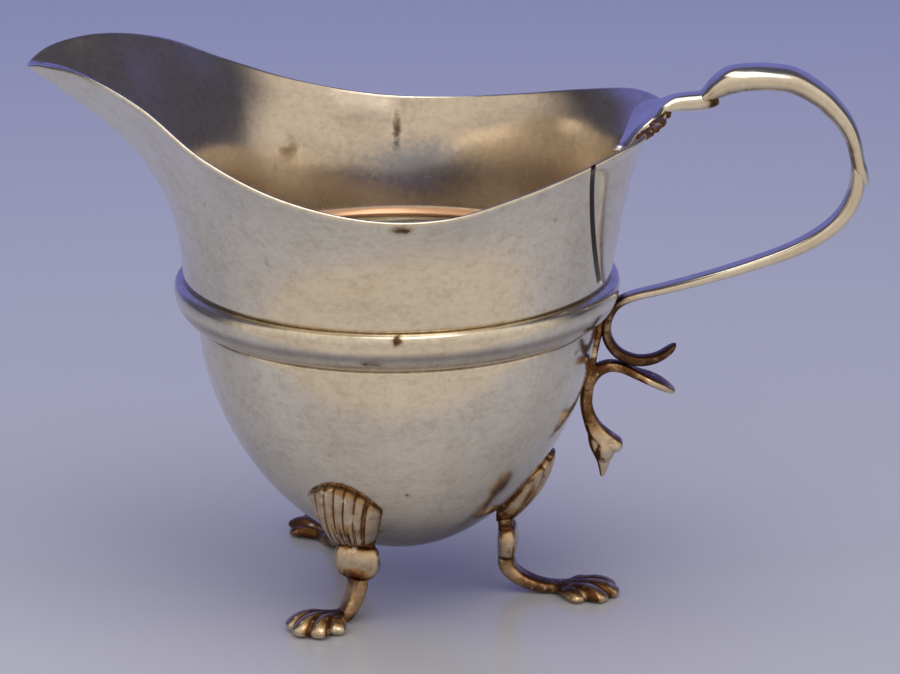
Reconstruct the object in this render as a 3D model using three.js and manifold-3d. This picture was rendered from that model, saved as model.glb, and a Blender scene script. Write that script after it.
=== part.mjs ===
// A small silver cream jug on three legs, of the helmet kind.
// A raised bowl, a half-round girdle and a flared wall with a broad lip make the vessel.
// A scroll handle with a leaf over the rim, and a bracket below it, are soldered to its back.
// Each leg has a fluted shell against the bowl, a knop, a bent shank and a paw.
// Millimetres. +Z is up, the lip points to -X and the handle to +X.
// Shapes are drawn with x = 0 on the jug's own axis and z = 0 on the table.
import * as THREE from "three";
import { mergeVertices } from "three/addons/utils/BufferGeometryUtils.js";
import Module from "manifold-3d";

const wasm = await Module();
wasm.setup();

const SOLDER_GAP = 0.3;
const SHEET = 0.75;
const FINE = 1e-3;

const BOWL_BASE_Z = 8.8;
const BOWL_TOP_Z = 49.0;
const BOWL_RADIUS = 33.1;
const BOWL_SIDE_PULL = 17.5;
const BOWL_BASE_PULL = 17.8;
const BOWL_STEPS = 11;
const ROUND_STEPS = 48;

const GIRDLE_HEIGHT = 6.8;
const GIRDLE_LEAN = 2.1;
const GIRDLE_PROUD = 2.3;
const GIRDLE_STEPS = 7;

const WALL_RADIUS = 35.5;
const WALL_RISE = 0.55;
const WALL_FLARE_REACH = 0.54;
const WALL_FLARE_DROP = 0.23;
const WALL_STEPS = 9;
const RIM_STEPS = 72;
const LIP_TIP = -60.0;

// Half of the rim, from the lip's tip to the handle: along the jug, half width, height.
const RIM = [
  [LIP_TIP, 0, 91.9],
  [-57.0, 6.9, 93.3],
  [-50.0, 14.8, 93.4],
  [-40.0, 24.9, 90.1],
  [-30.0, 34.2, 84.2],
  [-18.0, 39.4, 79.1],
  [-4.0, 41.3, 76.0],
  [8.0, 40.0, 75.7],
  [20.0, 33.9, 77.6],
  [32.0, 25.3, 80.4],
  [40.4, 15.6, 82.6],
  [44.6, 0, 83.3],
];

const THORN_TIP = 78.5;

// A bar's stations: out from the axis, height, width across, thickness in its own plane.
const LEAF = [
  [36.0, 76.3, 0.8, 0.6],
  [37.1, 77.5, 6.0, 0.9],
  [39.2, 79.4, 11.4, 1.0],
  [41.3, 81.8, 13.6, 1.0],
  [43.0, 83.5, 10.4, 1.0],
  [44.4, 84.5, 5.8, 1.2],
  [47.5, 84.8, 4.8, 1.4],
  [50.7, 84.8, 5.0, 1.8],
];
const LEAF_TROUGH = 1.0;
const UPPER_SCROLL = [
  [51.9, 85.1, 4.6, 2.3],
  [52.9, 86.5, 5.8, 2.9],
  [55.0, 87.8, 6.6, 3.0],
  [58.3, 88.6, 7.0, 3.1],
  [62.0, 88.6, 7.0, 3.1],
  [66.0, 87.4, 6.8, 3.0],
  [70.0, 84.9, 6.4, 2.8],
  [73.1, 81.5, 5.8, 2.6],
  [75.1, 77.6, 5.2, 2.4],
  [76.0, 74.0, 4.8, 2.3],
  [76.1, 72.2, 4.6, 2.3],
];
const THORN = [
  [76.0, 75.4, 2.4, 0.9],
  [76.6, 73.3, 2.4, 1.3],
  [77.5, 71.7, 1.9, 1.2],
  [THORN_TIP - 0.2, 70.6, 0.9, 0.5],
];
const LOWER_SCROLL = [
  [76.0, 71.2, 4.6, 2.3],
  [75.6, 69.2, 4.6, 2.3],
  [74.2, 66.1, 4.6, 2.3],
  [71.5, 63.0, 4.6, 2.2],
  [66.5, 59.9, 4.5, 2.0],
  [60.0, 57.4, 4.4, 1.7],
  [51.5, 54.7, 4.2, 1.4],
  [44.0, 52.7, 4.0, 1.4],
  [38.8, 51.3, 3.6, 1.5],
  [36.3, 49.9, 3.2, 1.6],
  [35.0, 47.7, 3.0, 1.7],
  [34.7, 45.6, 2.9, 1.7],
  [35.2, 43.5, 2.9, 1.7],
  [36.9, 41.4, 2.9, 1.7],
  [39.9, 40.2, 3.0, 1.7],
  [43.0, 40.6, 3.0, 1.6],
  [45.3, 42.0, 3.0, 1.3],
  [46.4, 43.1, 2.4, 0.8],
];
const BRACKET_STEM = [
  [34.1, 48.4, 1.6, 0.8],
  [33.7, 46.6, 1.8, 0.9],
  [33.1, 43.6, 2.0, 0.9],
  [32.4, 40.6, 2.6, 1.2],
  [31.7, 37.8, 3.0, 1.7],
  [31.2, 35.4, 3.0, 2.0],
  [31.0, 32.9, 3.0, 2.1],
  [31.6, 30.4, 3.0, 2.4],
  [33.1, 27.9, 3.6, 3.0],
  [35.0, 26.1, 4.2, 3.2],
  [36.9, 25.3, 4.0, 2.2],
  [37.6, 25.0, 2.2, 1.0],
];
const BRACKET_TAIL = [
  [32.3, 29.0, 2.4, 1.8],
  [33.5, 26.0, 3.2, 3.4],
  [34.3, 22.8, 2.2, 2.4],
  [34.1, 19.7, 0.7, 0.6],
];
const BRACKET_BRANCH = [
  [31.4, 37.0, 2.2, 1.4],
  [33.0, 38.2, 2.8, 2.0],
  [35.2, 39.1, 3.0, 2.0],
  [37.3, 38.6, 3.2, 1.7],
  [39.6, 37.8, 3.8, 1.6],
  [42.0, 36.9, 5.6, 1.6],
  [44.2, 35.9, 5.2, 1.5],
  [46.3, 34.6, 2.0, 0.8],
];
const BAR_SIDES = 12;
const STEPS_BETWEEN_STATIONS = 2;
const ROUNDED_SQUARE = 3.0;

// Heights of a leg that is set at the usual height on the bowl.
const SHELL_FOOT_Z = 12.6;
const SHELL_TOP_Z = 25.5;
const SHELL_FOOT_WIDTH = 6.4;
const SHELL_TOP_WIDTH = 12.8;
const SHELL_EDGE = 0.9;
const SHELL_CROWN = 2.2;
const SHELL_ARCH = 0.3;
const FLUTES = 7;
const FLUTE_DEPTH = 0.5;
const SCALLOP = 0.05;
const SHELL_STEPS_PER_FLUTE = 3;
const SHELL_STEPS_UP = 7;

// The knop, as a bar from its lower neck to its upper one.
const KNOP = [
  [-0.4, 5.8, 4.2, 2.4],
  [-0.3, 6.6, 6.2, 2.9],
  [0.0, 8.0, 7.7, 3.5],
  [0.0, 9.4, 7.8, 3.5],
  [-0.2, 10.7, 6.9, 2.9],
  [-0.3, 11.4, 5.6, 2.5],
  [-0.3, 12.3, 5.8, 2.6],
];
const KNOP_BACK = 1.5;
const SHANK_TOP_Z = 4.9;
const SHANK_WIDTH = 4.2;
const SHANK_THICKNESS = 2.2;
const ANKLE_WIDTH = 3.6;
const ANKLE_THICKNESS = 1.7;
const ANKLE_Z = 1.0;
const SHANK_STATIONS = 5;
const HEEL_GAP = 0.6;
const PAW_LENGTH = 10.4;
const PAW_WIDTH = 7.0;
const PAW_HEIGHT = 2.5;
const SOLE_DEPTH = 0.2;

// Each toe: along the paw, aside, length, width, and its turn outwards in degrees.
const TOES = [
  [7.9, 1.3, 5.0, 2.5, 4],
  [7.9, -1.3, 5.0, 2.5, -4],
  [5.9, 3.35, 4.8, 2.4, 14],
  [5.9, -3.35, 4.8, 2.4, -14],
];

// Each leg: the side of its root round the bowl, how far out its knop is, how much higher
// than usual it is set, how far its ankle reaches beyond the knop, and where its paw points.
// The left leg is set high and bent in under the bowl, with its paw turned towards the lip.
const LEGS = [
  { name: "back", rootDegrees: -4, knopRadius: 18.2, lift: 0, reach: 8.3, pawDegrees: -7 },
  { name: "left", rootDegrees: -117, knopRadius: 16.2, lift: 1.2, reach: 2.1, pawDegrees: -138 },
  { name: "right", rootDegrees: 120, knopRadius: 18.2, lift: 0.3, reach: 9.6, pawDegrees: 120 },
];

const SILVER = { color: 0xb8ae9f, roughness: 0.22, metalness: 1.0 };
const BRIGHT_SILVER = { color: 0xcfc6b6, roughness: 0.2, metalness: 1.0 };
const TARNISHED_SILVER = { color: 0xa08868, roughness: 0.3, metalness: 1.0 };

// Joins closed rings of equal length into one closed skin.
// An open row of rings is capped by a ladder between the two halves of its end rings.
function loft(rings, closed = false) {
  const count = rings[0].length;
  const positions = rings.flat().flatMap((p) => [p.x, p.y, p.z]);
  const faces = [];
  const spans = closed ? rings.length : rings.length - 1;
  for (let i = 0; i < spans; i++) {
    for (let j = 0; j < count; j++) {
      const a = i * count + j;
      const b = i * count + ((j + 1) % count);
      const c = ((i + 1) % rings.length) * count + j;
      const d = ((i + 1) % rings.length) * count + ((j + 1) % count);
      faces.push(a, b, d, a, d, c);
    }
  }
  if (!closed) {
    const last = (rings.length - 1) * count;
    for (let k = 0; k < count / 2 - 1; k++) {
      const [a, b, c, d] = [k, k + 1, count - 2 - k, count - 1 - k];
      faces.push(a, c, b, a, d, c);
      faces.push(last + a, last + b, last + c, last + a, last + c, last + d);
    }
  }
  const skin = new THREE.BufferGeometry();
  skin.setAttribute("position", new THREE.Float32BufferAttribute(positions, 3));
  skin.setIndex(faces);
  return skin;
}

// A smooth curve through points of two numbers each.
function curveThrough(pairs) {
  return new THREE.CatmullRomCurve3(pairs.map(([a, b]) => new THREE.Vector3(a, 0, b)));
}

// A rounded bar that follows its stations in the plane y = 0.
// A trough lifts the edges of its width along its own normal.
function bar(stations, trough = 0) {
  const path = curveThrough(stations.map(([x, z]) => [x, z]));
  const sizes = curveThrough(stations.map(([, , width, thickness]) => [width, thickness]));
  const steps = (stations.length - 1) * STEPS_BETWEEN_STATIONS;
  const rings = [];
  for (let i = 0; i <= steps; i++) {
    const t = i / steps;
    const centre = path.getPoint(t);
    const along = path.getPoint(Math.min(1, t + FINE)).sub(path.getPoint(Math.max(0, t - FINE)));
    along.normalize();
    const normal = new THREE.Vector3(-along.z, 0, along.x);
    const { x: width, z: thickness } = sizes.getPoint(t);
    rings.push(barSection(centre, normal, width, thickness, trough));
  }
  return loft(rings);
}

function barSection(centre, normal, width, thickness, trough) {
  const ring = [];
  const widest = Math.max(...LEAF.map((station) => station[2]));
  for (let k = 0; k < BAR_SIDES; k++) {
    const turn = ((k + 0.5) / BAR_SIDES) * 2 * Math.PI;
    const aside = 0.5 * width * roundedSquare(Math.cos(turn));
    const lift = trough * (aside / (0.5 * widest)) ** 2;
    const away = 0.5 * thickness * roundedSquare(Math.sin(turn)) + lift;
    ring.push(centre.clone().addScaledVector(normal, away).add(new THREE.Vector3(0, aside, 0)));
  }
  return ring;
}

function roundedSquare(value) {
  return Math.sign(value) * Math.abs(value) ** (2 / ROUNDED_SQUARE);
}

function toSolid(geometry) {
  const bare = geometry.index ? geometry.toNonIndexed() : geometry.clone();
  bare.deleteAttribute("normal");
  bare.deleteAttribute("uv");
  const merged = mergeVertices(bare, FINE);
  return new wasm.Manifold(
    new wasm.Mesh({
      numProp: 3,
      vertProperties: new Float32Array(merged.attributes.position.array),
      triVerts: new Uint32Array(merged.index.array),
    }),
  );
}

function toGeometry(solid) {
  const mesh = solid.getMesh();
  const geometry = new THREE.BufferGeometry();
  geometry.setAttribute("position", new THREE.BufferAttribute(mesh.vertProperties, 3));
  geometry.setIndex(new THREE.BufferAttribute(mesh.triVerts, 1));
  return geometry;
}

// A LatheGeometry turns about Y, so it is stood up on Z.
function turned(profile, segments = ROUND_STEPS) {
  return new THREE.LatheGeometry(profile, segments).rotateX(Math.PI / 2);
}

const bowlSide = new THREE.CubicBezierCurve(
  new THREE.Vector2(0, BOWL_BASE_Z),
  new THREE.Vector2(BOWL_BASE_PULL, BOWL_BASE_Z),
  new THREE.Vector2(BOWL_RADIUS, BOWL_TOP_Z - BOWL_SIDE_PULL),
  new THREE.Vector2(BOWL_RADIUS, BOWL_TOP_Z),
);

// The point of the bowl's side whose radius (x) or height (y) is given, and the normal there.
function bowlWhere(axis, value) {
  let low = 0;
  let high = 1;
  while (high - low > FINE * FINE) {
    const middle = (low + high) / 2;
    if (bowlSide.getPoint(middle)[axis] < value) low = middle;
    else high = middle;
  }
  const { x: radius, y: height } = bowlSide.getPoint(low);
  const along = bowlSide.getTangent(low);
  return { radius, height, normal: new THREE.Vector2(along.y, -along.x) };
}

function lowerBowl() {
  const outside = bowlSide.getPoints(BOWL_STEPS);
  const inside = outside.map((point, i) => {
    const along = bowlSide.getTangent(i / BOWL_STEPS);
    return new THREE.Vector2(point.x - along.y * SHEET, point.y + along.x * SHEET);
  });
  inside[0].x = 0;
  return turned([...outside, ...inside.reverse()]);
}

// The girdle's outer face is half round and leans out, as the wall is wider than the bowl.
function girdleFace() {
  const face = [];
  for (let i = 0; i <= GIRDLE_STEPS; i++) {
    const turn = (i / GIRDLE_STEPS - 0.5) * Math.PI;
    const rise = 0.5 * (1 + Math.sin(turn));
    face.push(new THREE.Vector2(
      BOWL_RADIUS + SOLDER_GAP + GIRDLE_LEAN * rise + GIRDLE_PROUD * Math.cos(turn),
      BOWL_TOP_Z + SOLDER_GAP + GIRDLE_HEIGHT * rise,
    ));
  }
  return face;
}

function girdleBand() {
  const outside = girdleFace();
  const inside = outside.map((point) => new THREE.Vector2(point.x - SHEET, point.y));
  return turned([...outside, ...inside.reverse(), outside[0].clone()]);
}

// Bowl and girdle as one full body, a little larger, that soldered pieces are cut to fit.
function vesselGuard() {
  const bowl = bowlSide.getPoints(BOWL_STEPS).map((point, i) => {
    const along = bowlSide.getTangent(i / BOWL_STEPS);
    return new THREE.Vector2(point.x + along.y * SOLDER_GAP, point.y - along.x * SOLDER_GAP);
  });
  bowl[0].x = 0;
  const girdle = girdleFace();
  const low = Math.min(...girdle.map((point) => point.y));
  const high = Math.max(...girdle.map((point) => point.y));
  const face = girdle.map((point) => new THREE.Vector2(point.x + SOLDER_GAP, point.y));
  face.unshift(new THREE.Vector2(face[0].x, low - SOLDER_GAP));
  return toSolid(turned([...bowl, ...face, new THREE.Vector2(0, high)]));
}

// One section of the wall rises upright from the girdle and flares out to the rim.
function wallSection(foot, rim) {
  const out = rim.clone().sub(foot).setZ(0);
  const rise = rim.z - foot.z;
  const stand = foot.clone().add(new THREE.Vector3(0, 0, WALL_RISE * rise));
  const flare = foot.clone().addScaledVector(out, WALL_FLARE_REACH);
  flare.z = rim.z - WALL_FLARE_DROP * rise;
  return new THREE.CubicBezierCurve3(foot, stand, flare, rim);
}

function rimCurve() {
  const half = RIM.map(([x, halfWidth, z]) => new THREE.Vector3(x, -halfWidth, z));
  const mirrored = half.slice(1, -1).map((p) => new THREE.Vector3(p.x, -p.y, p.z));
  return new THREE.CatmullRomCurve3([...half, ...mirrored.reverse()], true);
}

function upperWall() {
  const rim = rimCurve();
  const footZ = BOWL_TOP_Z + GIRDLE_HEIGHT + 2 * SOLDER_GAP;
  const outer = [];
  for (let i = 0; i < RIM_STEPS; i++) {
    const edge = rim.getPoint(i / RIM_STEPS);
    const angle = Math.atan2(edge.y, edge.x);
    const foot = new THREE.Vector3(
      WALL_RADIUS * Math.cos(angle),
      WALL_RADIUS * Math.sin(angle),
      footZ,
    );
    outer.push(wallSection(foot, edge).getPoints(WALL_STEPS));
  }
  const sections = outer.map((column, i) => {
    const before = outer[(i + RIM_STEPS - 1) % RIM_STEPS];
    const after = outer[(i + 1) % RIM_STEPS];
    const inner = column.map((point, k) => {
      const up = column[Math.min(k + 1, WALL_STEPS)].clone().sub(column[Math.max(k - 1, 0)]);
      const round = after[k].clone().sub(before[k]);
      const inward = up.cross(round).normalize();
      if (k === 0 || k === WALL_STEPS) inward.setZ(0).normalize();
      return point.clone().addScaledVector(inward, SHEET);
    });
    return [...inner, ...column.slice().reverse()];
  });
  return loft(sections, true);
}

function upperScroll() {
  const strap = toSolid(bar(UPPER_SCROLL));
  const thorn = toSolid(bar(THORN));
  return toGeometry(strap.add(thorn));
}

function lowerScroll() {
  return toGeometry(toSolid(bar(LOWER_SCROLL)).subtract(vesselGuard()));
}

// The bracket is cut to fit the vessel and the scroll that rests on its branch.
function handleBracket() {
  const stem = toSolid(bar(BRACKET_STEM));
  const tail = toSolid(bar(BRACKET_TAIL));
  const branch = toSolid(bar(BRACKET_BRANCH));
  const scrollGuard = toSolid(bar(LOWER_SCROLL.map(([x, z, width, thickness]) => [
    x,
    z,
    width + 2 * SOLDER_GAP,
    thickness + 2 * SOLDER_GAP,
  ])));
  return toGeometry(stem.add(tail).add(branch).subtract(vesselGuard()).subtract(scrollGuard));
}

// The shell lies on the bowl, widest at its arched top, and ends in a thick foot.
function legShell({ knopRadius, lift }) {
  const footRadius = knopRadius - KNOP_BACK;
  const footZ = SHELL_FOOT_Z + lift;
  const lowZ = Math.max(bowlWhere("x", footRadius).height, footZ + SOLDER_GAP);
  const highZ = SHELL_TOP_Z + lift;
  const across = FLUTES * SHELL_STEPS_PER_FLUTE;
  const sections = [];
  for (let i = 0; i <= across; i++) {
    const side = (2 * i) / across - 1;
    const ridge = Math.abs(Math.sin((FLUTES * Math.PI * i) / across));
    const front = [];
    const back = [];
    for (let k = -1; k <= SHELL_STEPS_UP; k++) {
      const up = Math.max(0, k) / SHELL_STEPS_UP;
      const widening = SHELL_FOOT_WIDTH + (SHELL_TOP_WIDTH - SHELL_FOOT_WIDTH) * up ** 0.8;
      const aside = 0.5 * side * widening;
      const reach = up * (1 - SHELL_ARCH * side ** 2 - SCALLOP * (1 - ridge));
      const z = lowZ + (highZ - lowZ) * reach;
      const { radius, normal } = bowlWhere("y", z);
      const out = Math.sqrt((radius + SOLDER_GAP / normal.x) ** 2 - aside ** 2);
      const crown = SHELL_CROWN * Math.sqrt(1 - up ** 2.5) * (1 - 0.75 * side ** 4);
      const groove = FLUTE_DEPTH * (1 - ridge) * (0.4 + 0.6 * up);
      const thick = SHELL_EDGE + crown - groove;
      const foot = k < 0;
      back.push(new THREE.Vector3(foot ? Math.min(footRadius, out) : out, aside, foot ? footZ : z));
      front.push(new THREE.Vector3(
        out + thick * normal.x,
        aside,
        foot ? footZ : Math.max(z + thick * normal.y, footZ + 0.1),
      ));
    }
    sections.push([...back, ...front.reverse()]);
  }
  return loft(sections);
}

function legKnop({ knopRadius, lift }) {
  return bar(KNOP.map(([out, z, width, thickness]) => [
    knopRadius + out,
    z + lift,
    width,
    thickness,
  ]));
}

// The shank bends from upright under the knop, at x = 0, to level at the ankle.
function legShank({ lift, reach }) {
  const top = SHANK_TOP_Z + lift;
  const stations = [];
  for (let i = 0; i < SHANK_STATIONS; i++) {
    const part = i / (SHANK_STATIONS - 1);
    const turn = (part * Math.PI) / 2;
    stations.push([
      reach * (1 - Math.cos(turn)),
      top + (ANKLE_Z - top) * Math.sin(turn),
      SHANK_WIDTH + (ANKLE_WIDTH - SHANK_WIDTH) * part,
      SHANK_THICKNESS + (ANKLE_THICKNESS - SHANK_THICKNESS) * part,
    ]);
  }
  return bar(stations);
}

// A paw points along +X from its heel at the origin, with a flat sole at z = 0.
function paw() {
  const instep = bar([
    [0, ANKLE_Z, ANKLE_WIDTH, ANKLE_THICKNESS],
    [0.3 * PAW_LENGTH, 0.5 * PAW_HEIGHT, 0.8 * PAW_WIDTH, 0.9 * PAW_HEIGHT],
    [0.6 * PAW_LENGTH, 0.5 * PAW_HEIGHT, PAW_WIDTH, PAW_HEIGHT],
    [0.8 * PAW_LENGTH, 0.4 * PAW_HEIGHT, 0.5 * PAW_WIDTH, 0.5 * PAW_HEIGHT],
  ]);
  let solid = toSolid(instep);
  for (const [along, aside, length, width, degrees] of TOES) {
    const toe = new THREE.SphereGeometry(0.5, 10, 6);
    toe.scale(length, width, PAW_HEIGHT);
    toe.rotateZ(THREE.MathUtils.degToRad(degrees));
    toe.translate(along, aside, 0.5 * PAW_HEIGHT - SOLE_DEPTH);
    solid = solid.add(toSolid(toe));
  }
  const above = new THREE.BoxGeometry(4 * PAW_LENGTH, 4 * PAW_WIDTH, 4 * PAW_HEIGHT);
  above.translate(0, 0, 2 * PAW_HEIGHT);
  return toGeometry(solid.intersect(toSolid(above)));
}

function piece(name, geometry, look) {
  const mesh = new THREE.Mesh(geometry, new THREE.MeshStandardMaterial(look));
  mesh.name = name;
  return mesh;
}

function leg(shape) {
  const group = new THREE.Group();
  const root = THREE.MathUtils.degToRad(shape.rootDegrees);
  const heading = THREE.MathUtils.degToRad(shape.pawDegrees);
  const name = "leg_" + shape.name;
  const shell = piece(name + "_shell", legShell(shape), TARNISHED_SILVER);
  const knop = piece(name + "_knop", legKnop(shape), TARNISHED_SILVER);
  shell.rotation.z = root;
  knop.rotation.z = root;

  // The shank turns about the knop, so that it can follow a paw that points aside.
  const shank = piece(name + "_shank", legShank(shape), TARNISHED_SILVER);
  const knopNeck = shape.knopRadius + KNOP[0][0];
  shank.position.set(knopNeck * Math.cos(root), knopNeck * Math.sin(root), 0);
  shank.rotation.z = heading;
  const foot = piece(name + "_paw", paw(), BRIGHT_SILVER);
  const heel = shape.reach + HEEL_GAP;
  foot.position.copy(shank.position);
  foot.position.add(new THREE.Vector3(heel * Math.cos(heading), heel * Math.sin(heading), 0));
  foot.rotation.z = heading;
  group.add(shell, knop, shank, foot);
  return group;
}

const jug = new THREE.Group();
jug.add(
  piece("lower_bowl", lowerBowl(), SILVER),
  piece("girdle_band", girdleBand(), SILVER),
  piece("upper_wall", upperWall(), SILVER),
  piece("handle_leaf", bar(LEAF, LEAF_TROUGH), BRIGHT_SILVER),
  piece("handle_upper_scroll", upperScroll(), BRIGHT_SILVER),
  piece("handle_lower_scroll", lowerScroll(), BRIGHT_SILVER),
  piece("handle_bracket", handleBracket(), TARNISHED_SILVER),
  ...LEGS.map(leg),
);

// The part's origin is on the table, half way between the lip's tip and the handle's thorn.
jug.position.x = -(LIP_TIP + THORN_TIP) / 2;

export default jug;
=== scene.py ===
# %% [markdown]
# # A small silver cream jug on three paw feet
# The jug is raised from thin silver sheet in two bodies, a bowl and a flared wall.
# A half-round girdle hides the joint between them. A strap handle with a leaf, a bracket and three
# shell-topped legs are soldered on. In this lesson every piece becomes a Blender mesh of its own,
# with a finish that shows how old silver tarnishes. It starts by loading the plain solids that the
# pieces will stand for.

import math

import bmesh
import bpy
import numpy as np
from mathutils import Matrix


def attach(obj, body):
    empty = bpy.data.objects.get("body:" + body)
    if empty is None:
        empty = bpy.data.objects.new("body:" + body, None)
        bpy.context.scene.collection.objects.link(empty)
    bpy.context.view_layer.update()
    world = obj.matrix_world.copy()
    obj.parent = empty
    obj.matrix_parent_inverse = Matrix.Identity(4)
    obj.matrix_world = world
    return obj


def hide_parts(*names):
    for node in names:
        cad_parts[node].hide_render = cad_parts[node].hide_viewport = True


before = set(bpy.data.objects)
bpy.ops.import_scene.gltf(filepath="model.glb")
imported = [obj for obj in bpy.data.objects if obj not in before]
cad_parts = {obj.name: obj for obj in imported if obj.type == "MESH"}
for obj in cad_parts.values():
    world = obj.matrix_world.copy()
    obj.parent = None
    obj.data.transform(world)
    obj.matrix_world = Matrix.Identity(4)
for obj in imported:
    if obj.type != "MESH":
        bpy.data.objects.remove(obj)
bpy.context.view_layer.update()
print("solids:", len(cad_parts))

# %% [markdown]
# ## Sizes
# All shapes are drawn in millimetres, with x = 0 on the jug's own axis and z = 0 on the table.
# The lip points to -X and the handle to +X. Finished meshes are moved so that the middle of the
# jug's length is at the origin, and made metres, because that is how the solids stand.

# %% Sizes of the jug
MM = 0.001
LIP_TIP = 60.0
THORN_TIP = 78.5
AXIS_X = (LIP_TIP - THORN_TIP) / 2
SHEET = 0.75
SOLDER = 0.3

BOWL_BASE_Z = 8.8
BOWL_TOP_Z = 49.0
BOWL_RADIUS = 33.1
BOWL_SIDE_PULL = 17.5
BOWL_BASE_PULL = 17.8

GIRDLE_HEIGHT = 6.8
GIRDLE_LEAN = 2.1
GIRDLE_PROUD = 2.3

WALL_RADIUS = 35.5
WALL_FOOT_Z = BOWL_TOP_Z + GIRDLE_HEIGHT + 2 * SOLDER
WALL_RISE = 0.55
WALL_FLARE_REACH = 0.54
WALL_FLARE_DROP = 0.23

# Half of the rim, from the lip's tip to the handle: along the jug, half width, height.
RIM = [
    (-59.85, 0, 91.7),
    (-57.0, 6.9, 93.0),
    (-50.0, 14.8, 93.15),
    (-40.0, 24.9, 90.1),
    (-30.0, 34.2, 84.2),
    (-18.0, 39.4, 79.1),
    (-4.0, 41.3, 76.0),
    (8.0, 40.0, 75.7),
    (20.0, 33.9, 77.6),
    (32.0, 25.3, 80.4),
    (40.4, 15.6, 82.6),
    (44.6, 0, 83.3),
]
print("the jug is", LIP_TIP + THORN_TIP, "mm long over lip and handle")

# %% [markdown]
# ## Smooth curves through measured points
# A silversmith bends a strap by eye through a few set points. The same is done here with a
# curve that passes through every point and eases off where the points lie close together.

# %% A smooth curve through points
def unit(vectors):
    return vectors / np.linalg.norm(vectors, axis=-1, keepdims=True)


def smooth_through(points, steps, closed=False):
    """A curve through all points, with its knots spaced by the root of their distances."""
    points = np.array(points, float)
    count = len(points)
    if closed:
        ring = np.vstack([points[-1], points, points[0], points[1]])
        spans = count
    else:
        before = 2 * points[0] - points[1]
        after = 2 * points[-1] - points[-2]
        ring = np.vstack([before, points, after])
        spans = count - 1
    made = []
    for step in range(steps if closed else steps + 1):
        place = step / steps * spans
        span = min(int(place), spans - 1)
        t = place - span
        p0, p1, p2, p3 = ring[span : span + 4]
        d0, d1, d2 = [
            max(np.linalg.norm(b - a), 1e-6) ** 0.5
            for a, b in ((p0, p1), (p1, p2), (p2, p3))
        ]
        m1 = ((p1 - p0) / d0 - (p2 - p0) / (d0 + d1) + (p2 - p1) / d1) * d1
        m2 = ((p2 - p1) / d1 - (p3 - p1) / (d1 + d2) + (p3 - p2) / d2) * d1
        made.append(
            p1
            + m1 * t
            + (3 * (p2 - p1) - 2 * m1 - m2) * t**2
            + (2 * (p1 - p2) + m1 + m2) * t**3
        )
    return np.array(made)


print("points on a test curve:", len(smooth_through([(0, 0), (1, 1), (2, 0)], 8)))

# %% [markdown]
# Each piece starts as a mesh object made from such points, and ends with its faces turned
# outwards, because the light is worked out from the side that a face looks to.

# %% Helpers that make a mesh object
DOUBLES_GAP = 1e-7


def new_object(name, data):
    made = bpy.data.objects.new(name, data)
    bpy.context.scene.collection.objects.link(made)
    return made


def mesh_object(name, points, faces=(), edges=()):
    places = (np.array(points, float) + (AXIS_X, 0, 0)) * MM
    mesh = bpy.data.meshes.new(name)
    mesh.from_pydata(places.tolist(), list(edges), list(faces))
    mesh.update()
    return new_object(name, mesh)


def face_outwards(piece):
    shape = bmesh.new()
    shape.from_mesh(piece.data)
    bmesh.ops.remove_doubles(shape, verts=shape.verts, dist=DOUBLES_GAP)
    if shape.calc_volume(signed=True) < 0:
        bmesh.ops.reverse_faces(shape, faces=shape.faces)
    shape.to_mesh(piece.data)
    shape.free()
    piece.data.shade_smooth()
    return piece


def as_plain_mesh(start, name):
    graph = bpy.context.evaluated_depsgraph_get()
    mesh = bpy.data.meshes.new_from_object(start.evaluated_get(graph), depsgraph=graph)
    bpy.data.objects.remove(start)
    mesh.name = name
    return mesh


print("mesh helpers ready")

# %% [markdown]
# ## Node trees as small workshops
# Geometry Nodes and shaders are both trees of nodes. This helper adds a node, sets its options
# and links its inputs in one line, so that the trees below can be read like a recipe. Most
# steps of a recipe are sums, so there is a short word for each sum that is used often.

# %% A helper that builds node trees
class Recipe:
    def __init__(self, tree):
        self.tree = tree

    def add(self, kind, inputs=None, **settings):
        node = self.tree.nodes.new(kind)
        for option, value in settings.items():
            setattr(node, option, value)
        for socket, source in (inputs or {}).items():
            self.feed(node.inputs[socket], source)
        return node

    def feed(self, socket, source):
        if isinstance(source, bpy.types.NodeSocket):
            self.tree.links.new(source, socket)
        elif source is not None:
            socket.default_value = source

    def math(self, operation, first, second=None):
        inputs = {0: first, 1: second}
        return self.add("ShaderNodeMath", inputs, operation=operation).outputs[0]

    def plus(self, first, second, share):
        return self.math("ADD", first, self.math("MULTIPLY", second, share))

    def vector(self, operation, first, second=None):
        inputs = {0: first, 1: second}
        return self.add("ShaderNodeVectorMath", inputs, operation=operation).outputs[0]

    def scaled(self, vector, factor):
        node = self.add("ShaderNodeVectorMath", {0: vector}, operation="SCALE")
        self.feed(node.inputs["Scale"], factor)
        return node.outputs[0]

    def combine(self, x, y, z):
        return self.add("ShaderNodeCombineXYZ", {0: x, 1: y, 2: z}).outputs[0]

    def split(self, vector):
        return self.add("ShaderNodeSeparateXYZ", {0: vector}).outputs


print("node helper ready")

# %% [markdown]
# A workshop is a Geometry Nodes tree with named inputs for its sizes. Its last steps turn
# instances into real faces and give them their finish. A piece is made by it when the tree sits
# in a modifier and its inputs are set, and the result is then kept as a plain mesh.

# %% Helpers for Geometry Nodes
def workshop(name, sizes):
    tree = bpy.data.node_groups.new(name, "GeometryNodeTree")
    face = tree.interface
    face.new_socket("Geometry", in_out="INPUT", socket_type="NodeSocketGeometry")
    for label, kind, value in sizes:
        socket = face.new_socket(label, in_out="INPUT", socket_type=kind)
        if value is not None:
            socket.default_value = value
    face.new_socket("Geometry", in_out="OUTPUT", socket_type="NodeSocketGeometry")
    recipe = Recipe(tree)
    recipe.given = recipe.add("NodeGroupInput").outputs
    recipe.result = recipe.add("NodeGroupOutput").inputs["Geometry"]
    return recipe


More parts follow.
